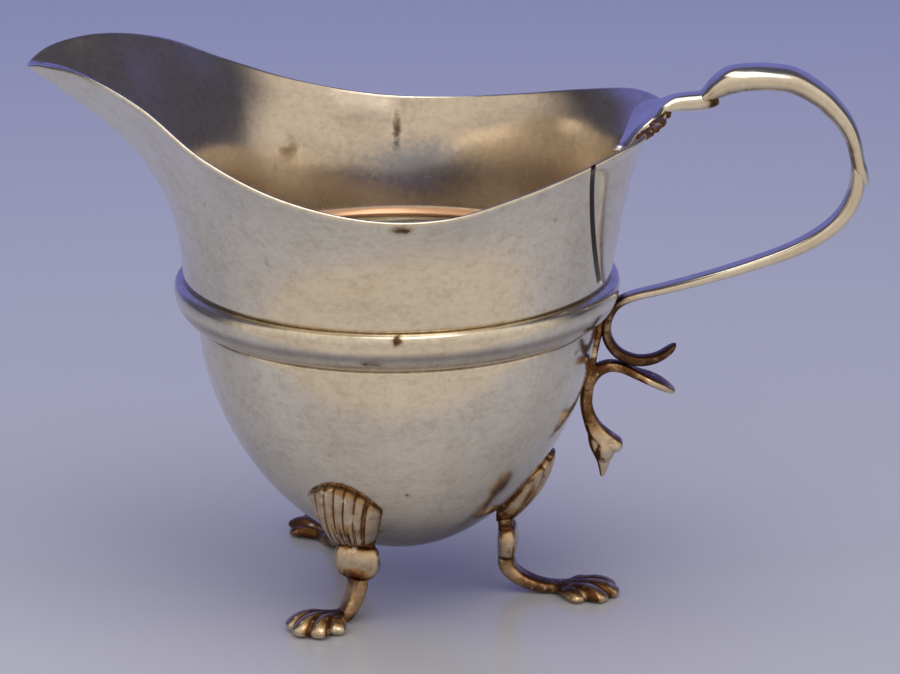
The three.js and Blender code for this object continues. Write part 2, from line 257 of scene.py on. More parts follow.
def finish_tree(recipe, geometry):
    real = recipe.add("GeometryNodeRealizeInstances", {0: geometry}).outputs[0]
    inputs = {"Geometry": real, "Material": recipe.given["Finish"]}
    recipe.feed(recipe.result, recipe.add("GeometryNodeSetMaterial", inputs).outputs[0])


def made_by(tree, start, name, **values):
    identifiers = {
        item.name: item.identifier
        for item in tree.interface.items_tree
        if item.item_type == "SOCKET" and item.in_out == "INPUT"
    }
    modifier = start.modifiers.new("made", "NODES")
    modifier.node_group = tree
    for label, value in values.items():
        modifier[identifiers[label.replace("_", " ")]] = value
    return face_outwards(new_object(name, as_plain_mesh(start, name)))


print("workshop helpers ready")

# %% [markdown]
# ## Finishes
# Old silver is a mirror with a history. Where it is handled and wiped it stays bright and a
# little yellow. Tarnish starts straw-coloured, turns brown and ends almost black in grooves.
# A picture laid on the metal would blur close up, so nodes work the finish out for every point.
# First come the few tools that all finishes share: noise, a soft step from one value to
# another, a mix of two colours, and a ragged spot at a given place.

# %% Tools for the finishes
SPOT_GRAIN = 900
SPOT_RAGGEDNESS = 0.9
SPOT_EDGE = (1.6, 0.7)


def linear(red, green, blue):
    def one(value):
        value = value / 255
        return value / 12.92 if value <= 0.04045 else ((value + 0.055) / 1.055) ** 2.4

    return (one(red), one(green), one(blue), 1.0)


def noise(recipe, place, scale, detail, rough=0.55, stretch=None):
    if stretch is not None:
        place = recipe.vector("MULTIPLY", place, stretch)
    inputs = {"Vector": place, "Scale": scale, "Detail": detail, "Roughness": rough}
    return recipe.add("ShaderNodeTexNoise", inputs).outputs["Fac"]


def between(recipe, value, low, high, smooth=True):
    inputs = {"Value": value, "From Min": low, "From Max": high}
    kind = "SMOOTHSTEP" if smooth else "LINEAR"
    return recipe.add("ShaderNodeMapRange", inputs, interpolation_type=kind).outputs["Result"]


def rising(recipe, value, low, high, most):
    return recipe.math("MULTIPLY", between(recipe, value, low, high), most)


def blend_colours(recipe, amount, first, second):
    inputs = {"Factor": amount, 6: first, 7: second}
    return recipe.add("ShaderNodeMix", inputs, data_type="RGBA").outputs[2]


def spot(recipe, place, centre, size):
    middle = (np.array(centre, float) + (AXIS_X, 0, 0)) * MM
    away = recipe.vector("SUBTRACT", place, tuple(middle))
    stretched = recipe.vector("DIVIDE", away, tuple(np.array(size, float) * MM))
    measure = recipe.add("ShaderNodeVectorMath", {0: stretched}, operation="LENGTH")
    grain = noise(recipe, place, SPOT_GRAIN, 3)
    ragged = recipe.plus(measure.outputs["Value"], grain, SPOT_RAGGEDNESS)
    return between(recipe, ragged, *SPOT_EDGE)


print("a middle grey counts as", round(linear(128, 128, 128)[0], 3), "in the finishes")

# %% [markdown]
# The finish itself mixes bright, straw-coloured and dark metal by how worn or shaded each point is.
# That comes from clouds of noise, from an attribute that the handle and the castings carry, which
# holds their tarnish and painted shade, and on the vessel from rules for its marks, some of which
# are painted shade and painted reflections. The same amount makes the metal a little rougher.
# Fine scratches and slow waves from the hammer need no faces, because a bump node shows them.

# %% Old silver
PATCHES = 60
SPECKLE = 1100
STREAKS = 500
HAIRS = 1100
HAMMER_WAVES = 55
UPRIGHT_STREAK = (1.0, 1.0, 0.25)
UPRIGHT_HAIR = (1.0, 1.0, 0.05)
LEVEL_HAIR = (0.05, 1.0, 1.0)
ROUGHER_WHERE_WORN = 0.16
ROUGHER_IN_SCRATCHES = 0.08
SCRATCH_DEPTH = 0.006
RELIEF_HEIGHT = 0.0004


def cloudy(recipe, place, patches=PATCHES):
    return noise(recipe, place, patches, 6, 0.65)


def metal_colour(recipe, wear_and_shade, clouds, metal):
    bright, straw, dark = metal
    yellowed = blend_colours(recipe, rising(recipe, clouds, 0.35, 0.75, 0.35), bright, straw)
    tinted = blend_colours(recipe, rising(recipe, wear_and_shade, 0.0, 0.6, 0.9), yellowed, straw)
    return blend_colours(recipe, between(recipe, wear_and_shade, 0.5, 1.25), tinted, dark)


def scratches_on(recipe, place):
    upright = noise(recipe, place, HAIRS, 2, 0.5, UPRIGHT_HAIR)
    level = noise(recipe, place, HAIRS, 2, 0.5, LEVEL_HAIR)
    cuts = [between(recipe, hairs, 0.7, 0.74) for hairs in (upright, level)]
    return recipe.math("MAXIMUM", *cuts)


def old_silver(name, metal, haze, grain, patches=PATCHES, extra=None, tints=()):
    finish = bpy.data.materials.new(name)
    finish.use_nodes = True
    recipe = Recipe(finish.node_tree)
    surface = finish.node_tree.nodes["Principled BSDF"]
    place = recipe.add("ShaderNodeTexCoord").outputs["Object"]

    clouds = cloudy(recipe, place, patches)
    speckle = noise(recipe, place, SPECKLE, 4, 0.65)
    streaks = noise(recipe, place, STREAKS, 3, 0.6, UPRIGHT_STREAK)
    # The attribute holds tarnish and, on some pieces, painted shade.
    kept_tarnish_and_shade = recipe.add("ShaderNodeAttribute", attribute_name="tarnish_and_shade").outputs["Fac"]
    patchy = recipe.math("MULTIPLY", kept_tarnish_and_shade, between(recipe, clouds, 0.2, 0.6))
    amount = recipe.plus(patchy, kept_tarnish_and_shade, 0.5)
    if extra is not None:
        amount = recipe.math("ADD", amount, extra(recipe, place))
    mottle = rising(recipe, speckle, 0.42, 0.78, grain)
    mottle = recipe.plus(mottle, between(recipe, streaks, 0.45, 0.8), grain * 0.6)
    wear_and_shade = recipe.plus(amount, mottle, 0.35)

    colour = metal_colour(recipe, wear_and_shade, clouds, metal)
    for rule, tint in tints:
        colour = blend_colours(recipe, rule(recipe, place), colour, tint)
    recipe.feed(surface.inputs["Base Color"], colour)
    surface.inputs["Metallic"].default_value = 1.0

    scratches = scratches_on(recipe, place)
    roughness = recipe.plus(haze, wear_and_shade, ROUGHER_WHERE_WORN)
    roughness = recipe.plus(roughness, scratches, ROUGHER_IN_SCRATCHES)
    recipe.feed(surface.inputs["Roughness"], roughness)

    waves = noise(recipe, place, HAMMER_WAVES, 1, 0.4)
    relief = recipe.plus(recipe.math("MULTIPLY", waves, 0.5), speckle, 0.05 * grain)
    relief = recipe.plus(relief, scratches, -SCRATCH_DEPTH)
    inputs = {"Height": relief, "Strength": 0.35, "Distance": RELIEF_HEIGHT}
    recipe.feed(surface.inputs["Normal"], recipe.add("ShaderNodeBump", inputs).outputs[0])
    return finish


# Red, green and blue from 0 to 255, as the metal looks under a white light.
SILVER = linear(233, 226, 211)
STRAW = linear(208, 193, 168)
BROWN = linear(82, 54, 34)
DULL = linear(140, 126, 110)
# The next three colours are not the metal's own: the underside grey is partly painted shade, the
# girdle's shade is painted shade and the dark line is a painted reflection.
UNDERSIDE_GREY = linear(92, 84, 80)
GIRDLE_SHADE = linear(104, 94, 100)
HANDLE_REFLECTION_DARK = linear(48, 38, 40)
INSIDE = linear(214, 203, 187)
INSIDE_GOLD = linear(216, 202, 184)
COPPER = linear(200, 156, 122)
# The next two colours are painted too: the blue-grey is a painted reflection and the cloud grey is
# painted shade.
BLUE_GREY = linear(140, 150, 165)
FAR_WALL_SHADE_GREY = linear(153, 140, 128)
CAST_SILVER = linear(218, 203, 178)
CAST_GOLD = linear(196, 160, 118)
CAST_BROWN = linear(100, 66, 38)
CAST_PATCH = linear(124, 84, 50)
CAST_RUBBED = linear(238, 228, 206)
print("silver counts as", [round(v, 3) for v in SILVER[:3]])

# %% [markdown]
# ### Marks that use and age have left, with painted shade and a painted reflection
# The inside was never polished as well as the outside. Cream stood in it up to a line a little
# below the rim, and below that line the silver has turned golden brown. A cloth doesn't reach into
# the joints beside the girdle, so the outside is darkest there. A wider band on the girdle's lower
# half is painted shade, the girdle's reflection of the shaded table. Small dark spots lie here and
# there on both sides, and a dark upright band down the far wall inside is a painted reflection of a
# dark stand in front of the jug. Each mark below has its place, its size each way and how dark it
# is, and each rule says how worn or shaded a point is, given the point.

# %% Stains, joints, spots, painted shade and a painted reflection
INSIDE_SPOTS_AND_REFLECTION = [
    # The first three marks form a dark upright band down the far wall inside: a painted reflection
    # of a dark stand in front of the jug. The last is a small spot.
    ((-0.1, 39.6, 76.2), (1.4, 3.0, 1.0), 0.9),
    ((-0.3, 38.2, 72.0), (1.1, 3.0, 5.6), 0.7),
    ((-0.4, 36.4, 67.8), (1.1, 2.5, 1.4), 0.3),
    ((27.0, 27.0, 76.0), (1.0, 2.0, 0.8), 0.3),
]
OUTSIDE_MARKS = [
    ((1.3, -40.6, 74.4), (2.4, 1.8, 1.3), 1.0),
    ((0.3, -36.6, 55.2), (1.2, 2.0, 1.2), 1.2),
    ((-4.0, -36.0, 51.3), (2.6, 2.0, 0.8), 0.65),
    ((1.5, -25.4, 25.6), (0.6, 0.6, 0.6), 0.8),
    ((25.5, -27.4, 72.2), (0.5, 0.6, 0.7), 0.6),
    ((29.2, -15.0, 46.4), (1.2, 1.2, 0.5), 0.7),
    ((-29.0, -17.0, 69.0), (1.0, 1.0, 0.5), 0.3),
]
STAIN_TOP_Z = 76.5
STAIN_FULL_Z = 71.0
CREAM_LINE_Z = 73.5
CREAM_LINE_WOBBLE = 5


def height_mm(recipe, place):
    return recipe.math("MULTIPLY", recipe.split(place)[2], 1 / MM)


def band_of_height(recipe, height, centre, half_width):
    away = recipe.math("ABSOLUTE", recipe.math("SUBTRACT", height, centre))
    return between(recipe, away, half_width, 0.0)


def marks_on(recipe, place, marks):
    total = 0.0
    for centre, size, darkness in marks:
        total = recipe.plus(total, spot(recipe, place, centre, size), darkness)
    return total


def inside_stain_and_reflection(recipe, place):
    wobble = noise(recipe, place, PATCHES, 3, 0.5)
    height = recipe.plus(height_mm(recipe, place), wobble, CREAM_LINE_WOBBLE)
    stain = rising(recipe, height, STAIN_TOP_Z, STAIN_FULL_Z, 0.42)
    dull = recipe.plus(stain, band_of_height(recipe, height, CREAM_LINE_Z, 1.6), 0.1)
    drips = noise(recipe, place, 260, 3, 0.6, (1.0, 1.0, 0.2))
    dull = recipe.plus(dull, between(recipe, drips, 0.4, 0.7), 0.14)
    return recipe.math("ADD", dull, marks_on(recipe, place, INSIDE_SPOTS_AND_REFLECTION))


def joints_spots_and_shade(recipe, place):
    height = height_mm(recipe, place)
    low = band_of_height(recipe, height, BOWL_TOP_Z + 0.2, 0.8)
    high = band_of_height(recipe, height, WALL_FOOT_Z - 0.1, 0.7)
    uneven = recipe.math("ADD", -0.1, cloudy(recipe, place))
    joints_and_shade = recipe.math("MULTIPLY", recipe.math("MAXIMUM", low, high), uneven)
    # The wider band on the girdle's lower half is painted shade: the girdle's reflection of the
    # shaded table under the jug.
    joints_and_shade = recipe.plus(joints_and_shade, band_of_height(recipe, height, BOWL_TOP_Z + 1.4, 1.5), 0.5)
    return recipe.math("ADD", joints_and_shade, marks_on(recipe, place, OUTSIDE_MARKS))


print("marks:", len(INSIDE_SPOTS_AND_REFLECTION), "inside and", len(OUTSIDE_MARKS), "outside")

# %% [markdown]
# Some places get a colour that is laid over the mix. Dull blotches all over the vessel, the
# copper-coloured foot of the wall inside, and brown and rubbed spots on the castings are colours of
# their own. The girdle's foot is painted shade, and the bowl's underside turns darker towards the
# bottom, partly tarnish and partly painted shade. Above the copper foot inside lie two grey clouds
# of painted shade and a bluish patch, a painted reflection. A dark upright line down the wall near
# the handle is a painted reflection of the handle. Its rule measures how far a point is from a
# shallow curve.

# %% Places with a colour of their own, painted shade and painted reflections
LINE_FROM_AXIS = 31.5
LINE_MIDDLE_Z = 76.0
LINE_BEND_PER_METRE = 4.7
LINE_EDGE = (0.5 * MM, 0.3 * MM)
LINE_NEAR_SIDE = (-4 * MM, -6 * MM)
LINE_FOOT = (57.5 * MM, 58.3 * MM)


def blotches(recipe, place):
    coarse = noise(recipe, place, 260, 5, 0.75, (0.7, 1.0, 1.5))
    fine = noise(recipe, place, 900, 4, 0.7, (0.8, 1.0, 1.2))
    both = recipe.plus(recipe.math("MULTIPLY", coarse, 0.5), fine, 0.5)
    return rising(recipe, both, 0.42, 0.68, 0.3)


def copper_foot(recipe, place):
    return rising(recipe, height_mm(recipe, place), 57.8, 57.2, 0.9)


# Painted shade: the girdle's foot shows the shaded table under the jug.
def girdle_foot_shade(recipe, place):
    band = band_of_height(recipe, height_mm(recipe, place), BOWL_TOP_Z + 3.0, 1.5)
    return recipe.math("MULTIPLY", band, 0.6)


# Darker towards the bottom of the bowl: partly tarnish, partly a painted reflection of the shadow
# under the jug.
def underside_tarnish_and_shade(recipe, place):
    return rising(recipe, height_mm(recipe, place), 23.0, 12.5, 0.6)


# A painted reflection: the dark handle seen in the wall beside it.
def handle_reflection_line(recipe, place):
    x, y, z = recipe.split(place)
    from_line = recipe.math("SUBTRACT", x, (AXIS_X + LINE_FROM_AXIS) * MM)
    up = recipe.math("SUBTRACT", z, LINE_MIDDLE_Z * MM)
    bend = recipe.math("MULTIPLY", recipe.math("MULTIPLY", up, up), LINE_BEND_PER_METRE)
    away = recipe.math("ABSOLUTE", recipe.math("SUBTRACT", from_line, bend))
    near_line = recipe.math(
        "MULTIPLY", between(recipe, away, *LINE_EDGE), between(recipe, y, *LINE_NEAR_SIDE)
    )
    return recipe.math("MULTIPLY", near_line, between(recipe, z, *LINE_FOOT))


def brown_patches(recipe, place):
    return rising(recipe, noise(recipe, place, 420, 4, 0.7), 0.5, 0.68, 0.55)


def rubbed_spots(recipe, place):
    elsewhere = recipe.vector("ADD", place, (3.0, 1.0, 2.0))
    return rising(recipe, noise(recipe, elsewhere, 520, 3, 0.6), 0.58, 0.72, 0.7)


# A painted reflection of the bluish room behind the jug.
def blue_reflection_patch(recipe, place):
    return recipe.math("MULTIPLY", spot(recipe, place, (4, 36, 64.2), (14, 7, 6.2)), 0.75)


# Painted shade: it dims the far wall inside, in the middle and on the handle's side.
def far_wall_shade(recipe, place):
    middle = spot(recipe, place, (-5, 39, 76), (10, 7, 7))
    handle_side = spot(recipe, place, (29, 25, 76), (10, 10, 8))
    return recipe.math("MULTIPLY", recipe.math("MAXIMUM", middle, handle_side), 0.6)


print("rules ready")

# %% [markdown]
# Five finishes cover the whole jug. The vessel has one for its outside and one for its inside,
# the handle is wiped brightest, the castings are the brownest because their grooves are hard to
# clean, and the solder is yellower and rougher than the silver round it.

# %% The five finishes
outside_finish = old_silver(
    "silver_outside", (SILVER, STRAW, BROWN), haze=0.15, grain=0.9, extra=joints_spots_and_shade,
    tints=[
        (blotches, DULL),
        (underside_tarnish_and_shade, UNDERSIDE_GREY),
        (girdle_foot_shade, GIRDLE_SHADE),
        (handle_reflection_line, HANDLE_REFLECTION_DARK),
    ],
)
inside_finish = old_silver(
    "silver_inside", (INSIDE, INSIDE_GOLD, BROWN), haze=0.16, grain=0.6, extra=inside_stain_and_reflection,
    tints=[
        (blotches, DULL),
        (copper_foot, COPPER),
        (blue_reflection_patch, BLUE_GREY),
        (far_wall_shade, FAR_WALL_SHADE_GREY),
    ],
)
handle_finish = old_silver(
    "silver_handle", (SILVER, STRAW, BROWN), haze=0.12, grain=0.5, patches=200
)
casting_finish = old_silver(
    "silver_castings", (CAST_SILVER, CAST_GOLD, CAST_BROWN), haze=0.18, grain=0.8, patches=330,
    tints=[(brown_patches, CAST_PATCH), (rubbed_spots, CAST_RUBBED)],
)
solder_finish = old_silver(
    "silver_solder", (STRAW, CAST_GOLD, CAST_BROWN), haze=0.28, grain=0.8, patches=330
)
finishes = [outside_finish, inside_finish, handle_finish, casting_finish, solder_finish]
print("finishes:", [finish.name for finish in finishes])

# %% [markdown]
# ## The bowl and the girdle, turned on a lathe
# A raised bowl is hammered until it is round, so it is drawn as on a lathe: a profile is
# turned about the jug's axis. The tree below makes a flat grid, one way round and one way along
# the profile, and moves each of its points to its place on the turned surface. The two helpers
# before it make the grid and wrap it up, and the bars of the handle use them again.

# %% A lathe made of nodes
SEAM_GAP = 1e-6


def flat_grid(recipe, around, along):
    inputs = {"Size X": 1.0, "Size Y": 1.0, "Vertices X": around, "Vertices Y": along}
    grid = recipe.add("GeometryNodeMeshGrid", inputs).outputs["Mesh"]
    across, up, _ = recipe.split(recipe.add("GeometryNodeInputPosition").outputs[0])
    turn = recipe.math("MULTIPLY", recipe.math("ADD", across, 0.5), 2 * math.pi)
    return grid, turn, recipe.math("ADD", up, 0.5)


def wrap_grid(recipe, grid, places):
    wrapped = recipe.add("GeometryNodeSetPosition", {"Geometry": grid, "Position": places})
    inputs = {"Geometry": wrapped.outputs[0], "Distance": SEAM_GAP}
    closed = recipe.add("GeometryNodeMergeByDistance", inputs)
    finish_tree(recipe, closed.outputs[0])
    return recipe.tree


def make_lathe():
    recipe = workshop(
        "Turn a profile",
        [
            ("Round Steps", "NodeSocketInt", 180),
            ("Profile Steps", "NodeSocketInt", 160),
            ("Axis X", "NodeSocketFloat", AXIS_X * MM),
            ("Finish", "NodeSocketMaterial", None),
        ],
    )
    given = recipe.given
    profile = recipe.add("GeometryNodeMeshToCurve", {"Mesh": given["Geometry"]}).outputs[0]
    grid, turn, way = flat_grid(recipe, given["Round Steps"], given["Profile Steps"])
    inputs = {"Curves": profile, "Factor": way}
    sample = recipe.add("GeometryNodeSampleCurve", inputs, mode="FACTOR")
    x, _, z = recipe.split(sample.outputs["Position"])
    radius = recipe.math("SUBTRACT", x, given["Axis X"])
    turned_x = recipe.plus(given["Axis X"], radius, recipe.math("COSINE", turn))
    turned_y = recipe.math("MULTIPLY", radius, recipe.math("SINE", turn))
    return wrap_grid(recipe, grid, recipe.combine(turned_x, turned_y, z))


LATHE = make_lathe()


def turned_piece(name, profile, closed=False):
    points = [(radius, 0, z) for radius, z in profile]
    edges = [(i, i + 1) for i in range(len(points) - 1)]
    if closed:
        edges.append((len(points) - 1, 0))
    start = mesh_object(name + "_profile", points, edges=edges)
    return made_by(LATHE, start, name, Finish=outside_finish)


print("a profile is turned by", len(LATHE.nodes), "nodes")

# %% [markdown]
# The bowl's side is one Bezier curve, drawn as a maker would draw the template: it leaves the
# base level and reaches the top upright. The inside runs parallel to it, one sheet further in.
# It can be seen only from above, and it has the outside's finish.

# %% The bowl
BOWL_STEPS = 60


def bezier(t, a, b, c, d):
    return (1 - t) ** 3 * a + 3 * (1 - t) ** 2 * t * b + 3 * (1 - t) * t**2 * c + t**3 * d


def bowl_side(t):
    template = [
        (0, BOWL_BASE_Z),
        (BOWL_BASE_PULL, BOWL_BASE_Z),
        (BOWL_RADIUS, BOWL_TOP_Z - BOWL_SIDE_PULL),
        (BOWL_RADIUS, BOWL_TOP_Z),
    ]
    a, b, c, d = np.array(template, float)
    along = unit((1 - t) ** 2 * (b - a) + 2 * (1 - t) * t * (c - b) + t**2 * (d - c))
    return bezier(t, a, b, c, d), np.array((along[1], -along[0]))


outer = [bowl_side(i / BOWL_STEPS) for i in range(BOWL_STEPS + 1)]
bowl_outside = [place for place, _ in outer]
bowl_inside = [place - SHEET * normal for place, normal in outer]
bowl_inside[0] = np.array((0.0, BOWL_BASE_Z + SHEET))
bowl = turned_piece("bowl", bowl_outside + bowl_inside[::-1])
print("bowl faces:", len(bowl.data.polygons))

# %% [markdown]
# The girdle is a strip of sheet, drawn through a half-round swage and soldered over the joint.
# It leans outwards with the wall, so each point's radius grows with its height.

# %% The girdle
GIRDLE_STEPS = 40


def girdle_profile():
    face = []
    for i in range(GIRDLE_STEPS + 1):
        turn = (i / GIRDLE_STEPS - 0.5) * math.pi
        rise = 0.5 * (1 + math.sin(turn))
        radius = BOWL_RADIUS + SOLDER + GIRDLE_LEAN * rise + GIRDLE_PROUD * math.cos(turn)
        face.append((radius, BOWL_TOP_Z + SOLDER + GIRDLE_HEIGHT * rise))
    back = [(radius - SHEET, z) for radius, z in face]
    return face + back[::-1]


girdle = turned_piece("girdle", girdle_profile(), closed=True)
print("girdle faces:", len(girdle.data.polygons))

# %% [markdown]
# ## The flared wall
# The wall starts round on the girdle and ends in the rim's long wavy curve. Each section is
# one Bezier curve from the foot to the rim: it first rises upright and then flares out.
# The sheet has two skins, joined by a rounded edge that the light catches as a thin line.
# Inside, the skin steps in to a narrow ledge at its foot and curls over a little along the lip.
# No node does all this, so the points are worked out with numpy, row by row.

# %% The wall's outer skin
WALL_COLUMNS = 360
WALL_ROWS = 60
FOOT_SINK = 0.25
EDGE_DROP = 0.35
FULLER_BY = 0.3
HANDLE_FLARE_LESS = 0.11
HANDLE_SIDE_FULL_X = 40


def rim_curve():
    half = [(x, -width, z - EDGE_DROP) for x, width, z in RIM]
    other = [(x, -y, z) for x, y, z in half[1:-1]]
    return smooth_through(half + other[::-1], WALL_COLUMNS, closed=True)


def outer_skin():
    rim = rim_curve()
    foot = WALL_RADIUS * unit(rim * (1, 1, 0))
    foot[:, 2] = WALL_FOOT_Z - FOOT_SINK
    rise = (rim - foot) * (0, 0, 1)
    out = (rim - foot) * (1, 1, 0)
    handle_side = np.clip(rim[:, :1] / HANDLE_SIDE_FULL_X, 0, 1)
    stand = foot + rise * WALL_RISE + out * FULLER_BY * handle_side
    flare = foot + out * (WALL_FLARE_REACH - HANDLE_FLARE_LESS * handle_side)
    drop = WALL_FLARE_DROP - HANDLE_FLARE_LESS * handle_side
    flare[:, 2] = (rim - rise * drop)[:, 2]
    t = np.linspace(0, 1, WALL_ROWS)[:, None, None]
    return bezier(t, foot, stand, flare, rim)


print("rim points:", len(rim_curve()))

# %% [markdown]
# The inner skin is the outer one moved inwards by the sheet's thickness. The dent is one soft
# knock: all points near its middle are pushed in, and the push fades with their distance.

# %% The wall's inner skin, its edge and its dent
LEDGE_TOP_Z = 57.5
LEDGE_REACH = 1.1
LIP_CURL = 1.5
LIP_CURL_START = 0.86
LIP_CURL_X = -42
LIP_CURL_FADE = 12
EDGE_ROWS = 6
DENT_PLACE = np.array((-19.4, 31.6, 70.2))
DENT_REACH = 1.9
DENT_DEPTH = 0.5


def lip_curl(skin):
    row = np.linspace(0, 1, WALL_ROWS)[:, None]
    near_rim = np.clip((row - LIP_CURL_START) / (1 - LIP_CURL_START), 0, 1)
    on_lip = np.clip((LIP_CURL_X - skin[..., 0]) / LIP_CURL_FADE, 0, 1)
    near_side = np.clip((5 - skin[..., 1]) / 10, 0, 1)
    return LIP_CURL * 4 * near_rim * (1 - near_rim) * on_lip * near_side


def inner_skin(outer, up):
    round_way = np.roll(outer, -1, axis=1) - np.roll(outer, 1, axis=1)
    inward = unit(np.cross(up, round_way))
    inward[0] = unit(inward[0] * (1, 1, 0))
    inner = outer + SHEET * inward
    ledge = np.clip((LEDGE_TOP_Z - inner[..., 2:3]) / (LEDGE_TOP_Z - WALL_FOOT_Z), 0, 1)
    inner += LEDGE_REACH * ledge**1.3 * inward * (1, 1, 0)
    inner[..., 2] += lip_curl(inner)
    return inner


def rounded_edge(outer, inner, up):
    middle, half = (outer + inner) / 2, (outer - inner) / 2
    lift = unit(up) * SHEET / 2
    turns = [math.pi * (i + 1) / (EDGE_ROWS + 1) for i in range(EDGE_ROWS)]
    return np.array([middle + math.cos(turn) * half + math.sin(turn) * lift for turn in turns])


def dented(rows):
    distance = np.linalg.norm(rows - DENT_PLACE, axis=2, keepdims=True)
    depth = DENT_DEPTH * np.exp(-((distance / DENT_REACH) ** 2))
    return rows + depth * unit(-rows * (1, 1, 0))


def wall_sections():
    outer = outer_skin()
    up = np.gradient(outer, axis=0)
    inner = inner_skin(outer, up)
    edge = rounded_edge(outer[-1], inner[-1], up[-1])
    return dented(np.concatenate([outer, edge, inner[::-1]]))


sections = wall_sections()
print("wall sections:", len(sections))

# %% [markdown]
# The sections are joined by faces into one closed piece. A face whose points all lie on the
# inner skin gets the golden inside finish, and all others get the outside's.

# %% The wall
def looped_faces(rows, columns):
    faces = []
    for row in range(rows):
        here, above = row * columns, (row + 1) % rows * columns
        for column in range(columns):
            right = (column + 1) % columns
            faces.append((here + column, here + right, above + right, above + column))
    return faces


wall = mesh_object("wall", sections.reshape(-1, 3), looped_faces(len(sections), WALL_COLUMNS))
wall.data.materials.append(outside_finish)
wall.data.materials.append(inside_finish)
first_inside = (WALL_ROWS + EDGE_ROWS) * WALL_COLUMNS
for face in wall.data.polygons:
    face.material_index = int(min(face.vertices) >= first_inside)
face_outwards(wall)
print("wall faces:", len(wall.data.polygons))

# %% [markdown]
# ## Straps and bars
# The handle's scrolls, its leaf, the bracket's arms and the legs' knops and shanks are all
# bars of changing width and thickness that follow a path. One tree sweeps them all. The path
# comes as a row of points that carry their own width and thickness. Each section is a squared
# circle, as a file leaves it, and both ends are rounded off.

# %% A tree that sweeps a bar along its path
def rounded_ends(recipe, way, rounding):
    nearest = recipe.math("MINIMUM", way, recipe.math("SUBTRACT", 1.0, way))
    part = recipe.math("MINIMUM", recipe.math("DIVIDE", nearest, rounding), 1.0)
    rest = recipe.math("SUBTRACT", 1.0, part)
    return recipe.math("SQRT", recipe.math("SUBTRACT", 1.0, recipe.math("MULTIPLY", rest, rest)))


def make_sweep():
    recipe = workshop(
        "Sweep a bar",
        [
            ("Sides", "NodeSocketInt", 33),
            ("Steps", "NodeSocketInt", 121),
            ("Squareness", "NodeSocketFloat", 3.0),
            ("End Rounding", "NodeSocketFloat", 0.02),
            ("Trough", "NodeSocketFloat", 0.0),
            ("Widest", "NodeSocketFloat", 0.01),
            ("Finish", "NodeSocketMaterial", None),
        ],
    )
    given = recipe.given
    path = recipe.add("GeometryNodeMeshToCurve", {"Mesh": given["Geometry"]}).outputs[0]
    grid, turn, way = flat_grid(recipe, given["Sides"], given["Steps"])
    ends = rounded_ends(recipe, way, given["End Rounding"])
    power = recipe.math("DIVIDE", 2.0, given["Squareness"])

    def sampled(label):
        size = recipe.add("GeometryNodeInputNamedAttribute", {"Name": label}, data_type="FLOAT")
        inputs = {"Curves": path, "Value": size.outputs["Attribute"], "Factor": way}
        return recipe.add("GeometryNodeSampleCurve", inputs, mode="FACTOR")

    def squared(value):
        size = recipe.math("POWER", recipe.math("ABSOLUTE", value), power)
        return recipe.math("MULTIPLY", recipe.math("SIGN", value), size)

    def offset(size, value):
        half = recipe.math("MULTIPLY", recipe.math("MULTIPLY", size, 0.5), ends)
        return recipe.math("MULTIPLY", half, squared(value))

    wide, thick = sampled("width"), sampled("thickness")
    aside = offset(wide.outputs[0], recipe.math("COSINE", turn))
    away = offset(thick.outputs[0], recipe.math("SINE", turn))
    part_aside = recipe.math("DIVIDE", aside, recipe.math("MULTIPLY", given["Widest"], 0.5))
    away = recipe.plus(away, recipe.math("MULTIPLY", part_aside, part_aside), given["Trough"])

    sideways = (0.0, 1.0, 0.0)
    across_path = recipe.vector("CROSS_PRODUCT", wide.outputs["Tangent"], sideways)
    normal = recipe.vector("NORMALIZE", across_path)
    moved = recipe.vector("ADD", wide.outputs["Position"], recipe.scaled(normal, away))
    moved = recipe.vector("ADD", moved, recipe.scaled(sideways, aside))
    return wrap_grid(recipe, grid, moved)


SWEEP = make_sweep()
POINTS_BETWEEN = 10
THINNEST = 0.1


def bar(name, stations, finish, **values):
    path = smooth_through(stations, POINTS_BETWEEN * (len(stations) - 1))
    points = [(x, 0, z) for x, z, _, _ in path]
    edges = [(i, i + 1) for i in range(len(points) - 1)]
    start = mesh_object(name + "_path", points, edges=edges)
    for label, column in (("width", 2), ("thickness", 3)):
        sizes = start.data.attributes.new(label, "FLOAT", "POINT")
        sizes.data.foreach_set("value", np.maximum(path[:, column], THINNEST) * MM)
    return made_by(SWEEP, start, name, Finish=finish, **values)


print("a bar is swept by", len(SWEEP.nodes), "nodes")

# %% [markdown]
# ## The handle
# The handle starts as a leaf that lies in the rim, runs level for a few millimetres and turns into
# the upper scroll. That scroll ends in a small thorn. The thinner lower scroll springs from it,
# runs back to the girdle and curls up below it. All three were forged as straps and bent, so a few
# stations along each are enough for the sweep.

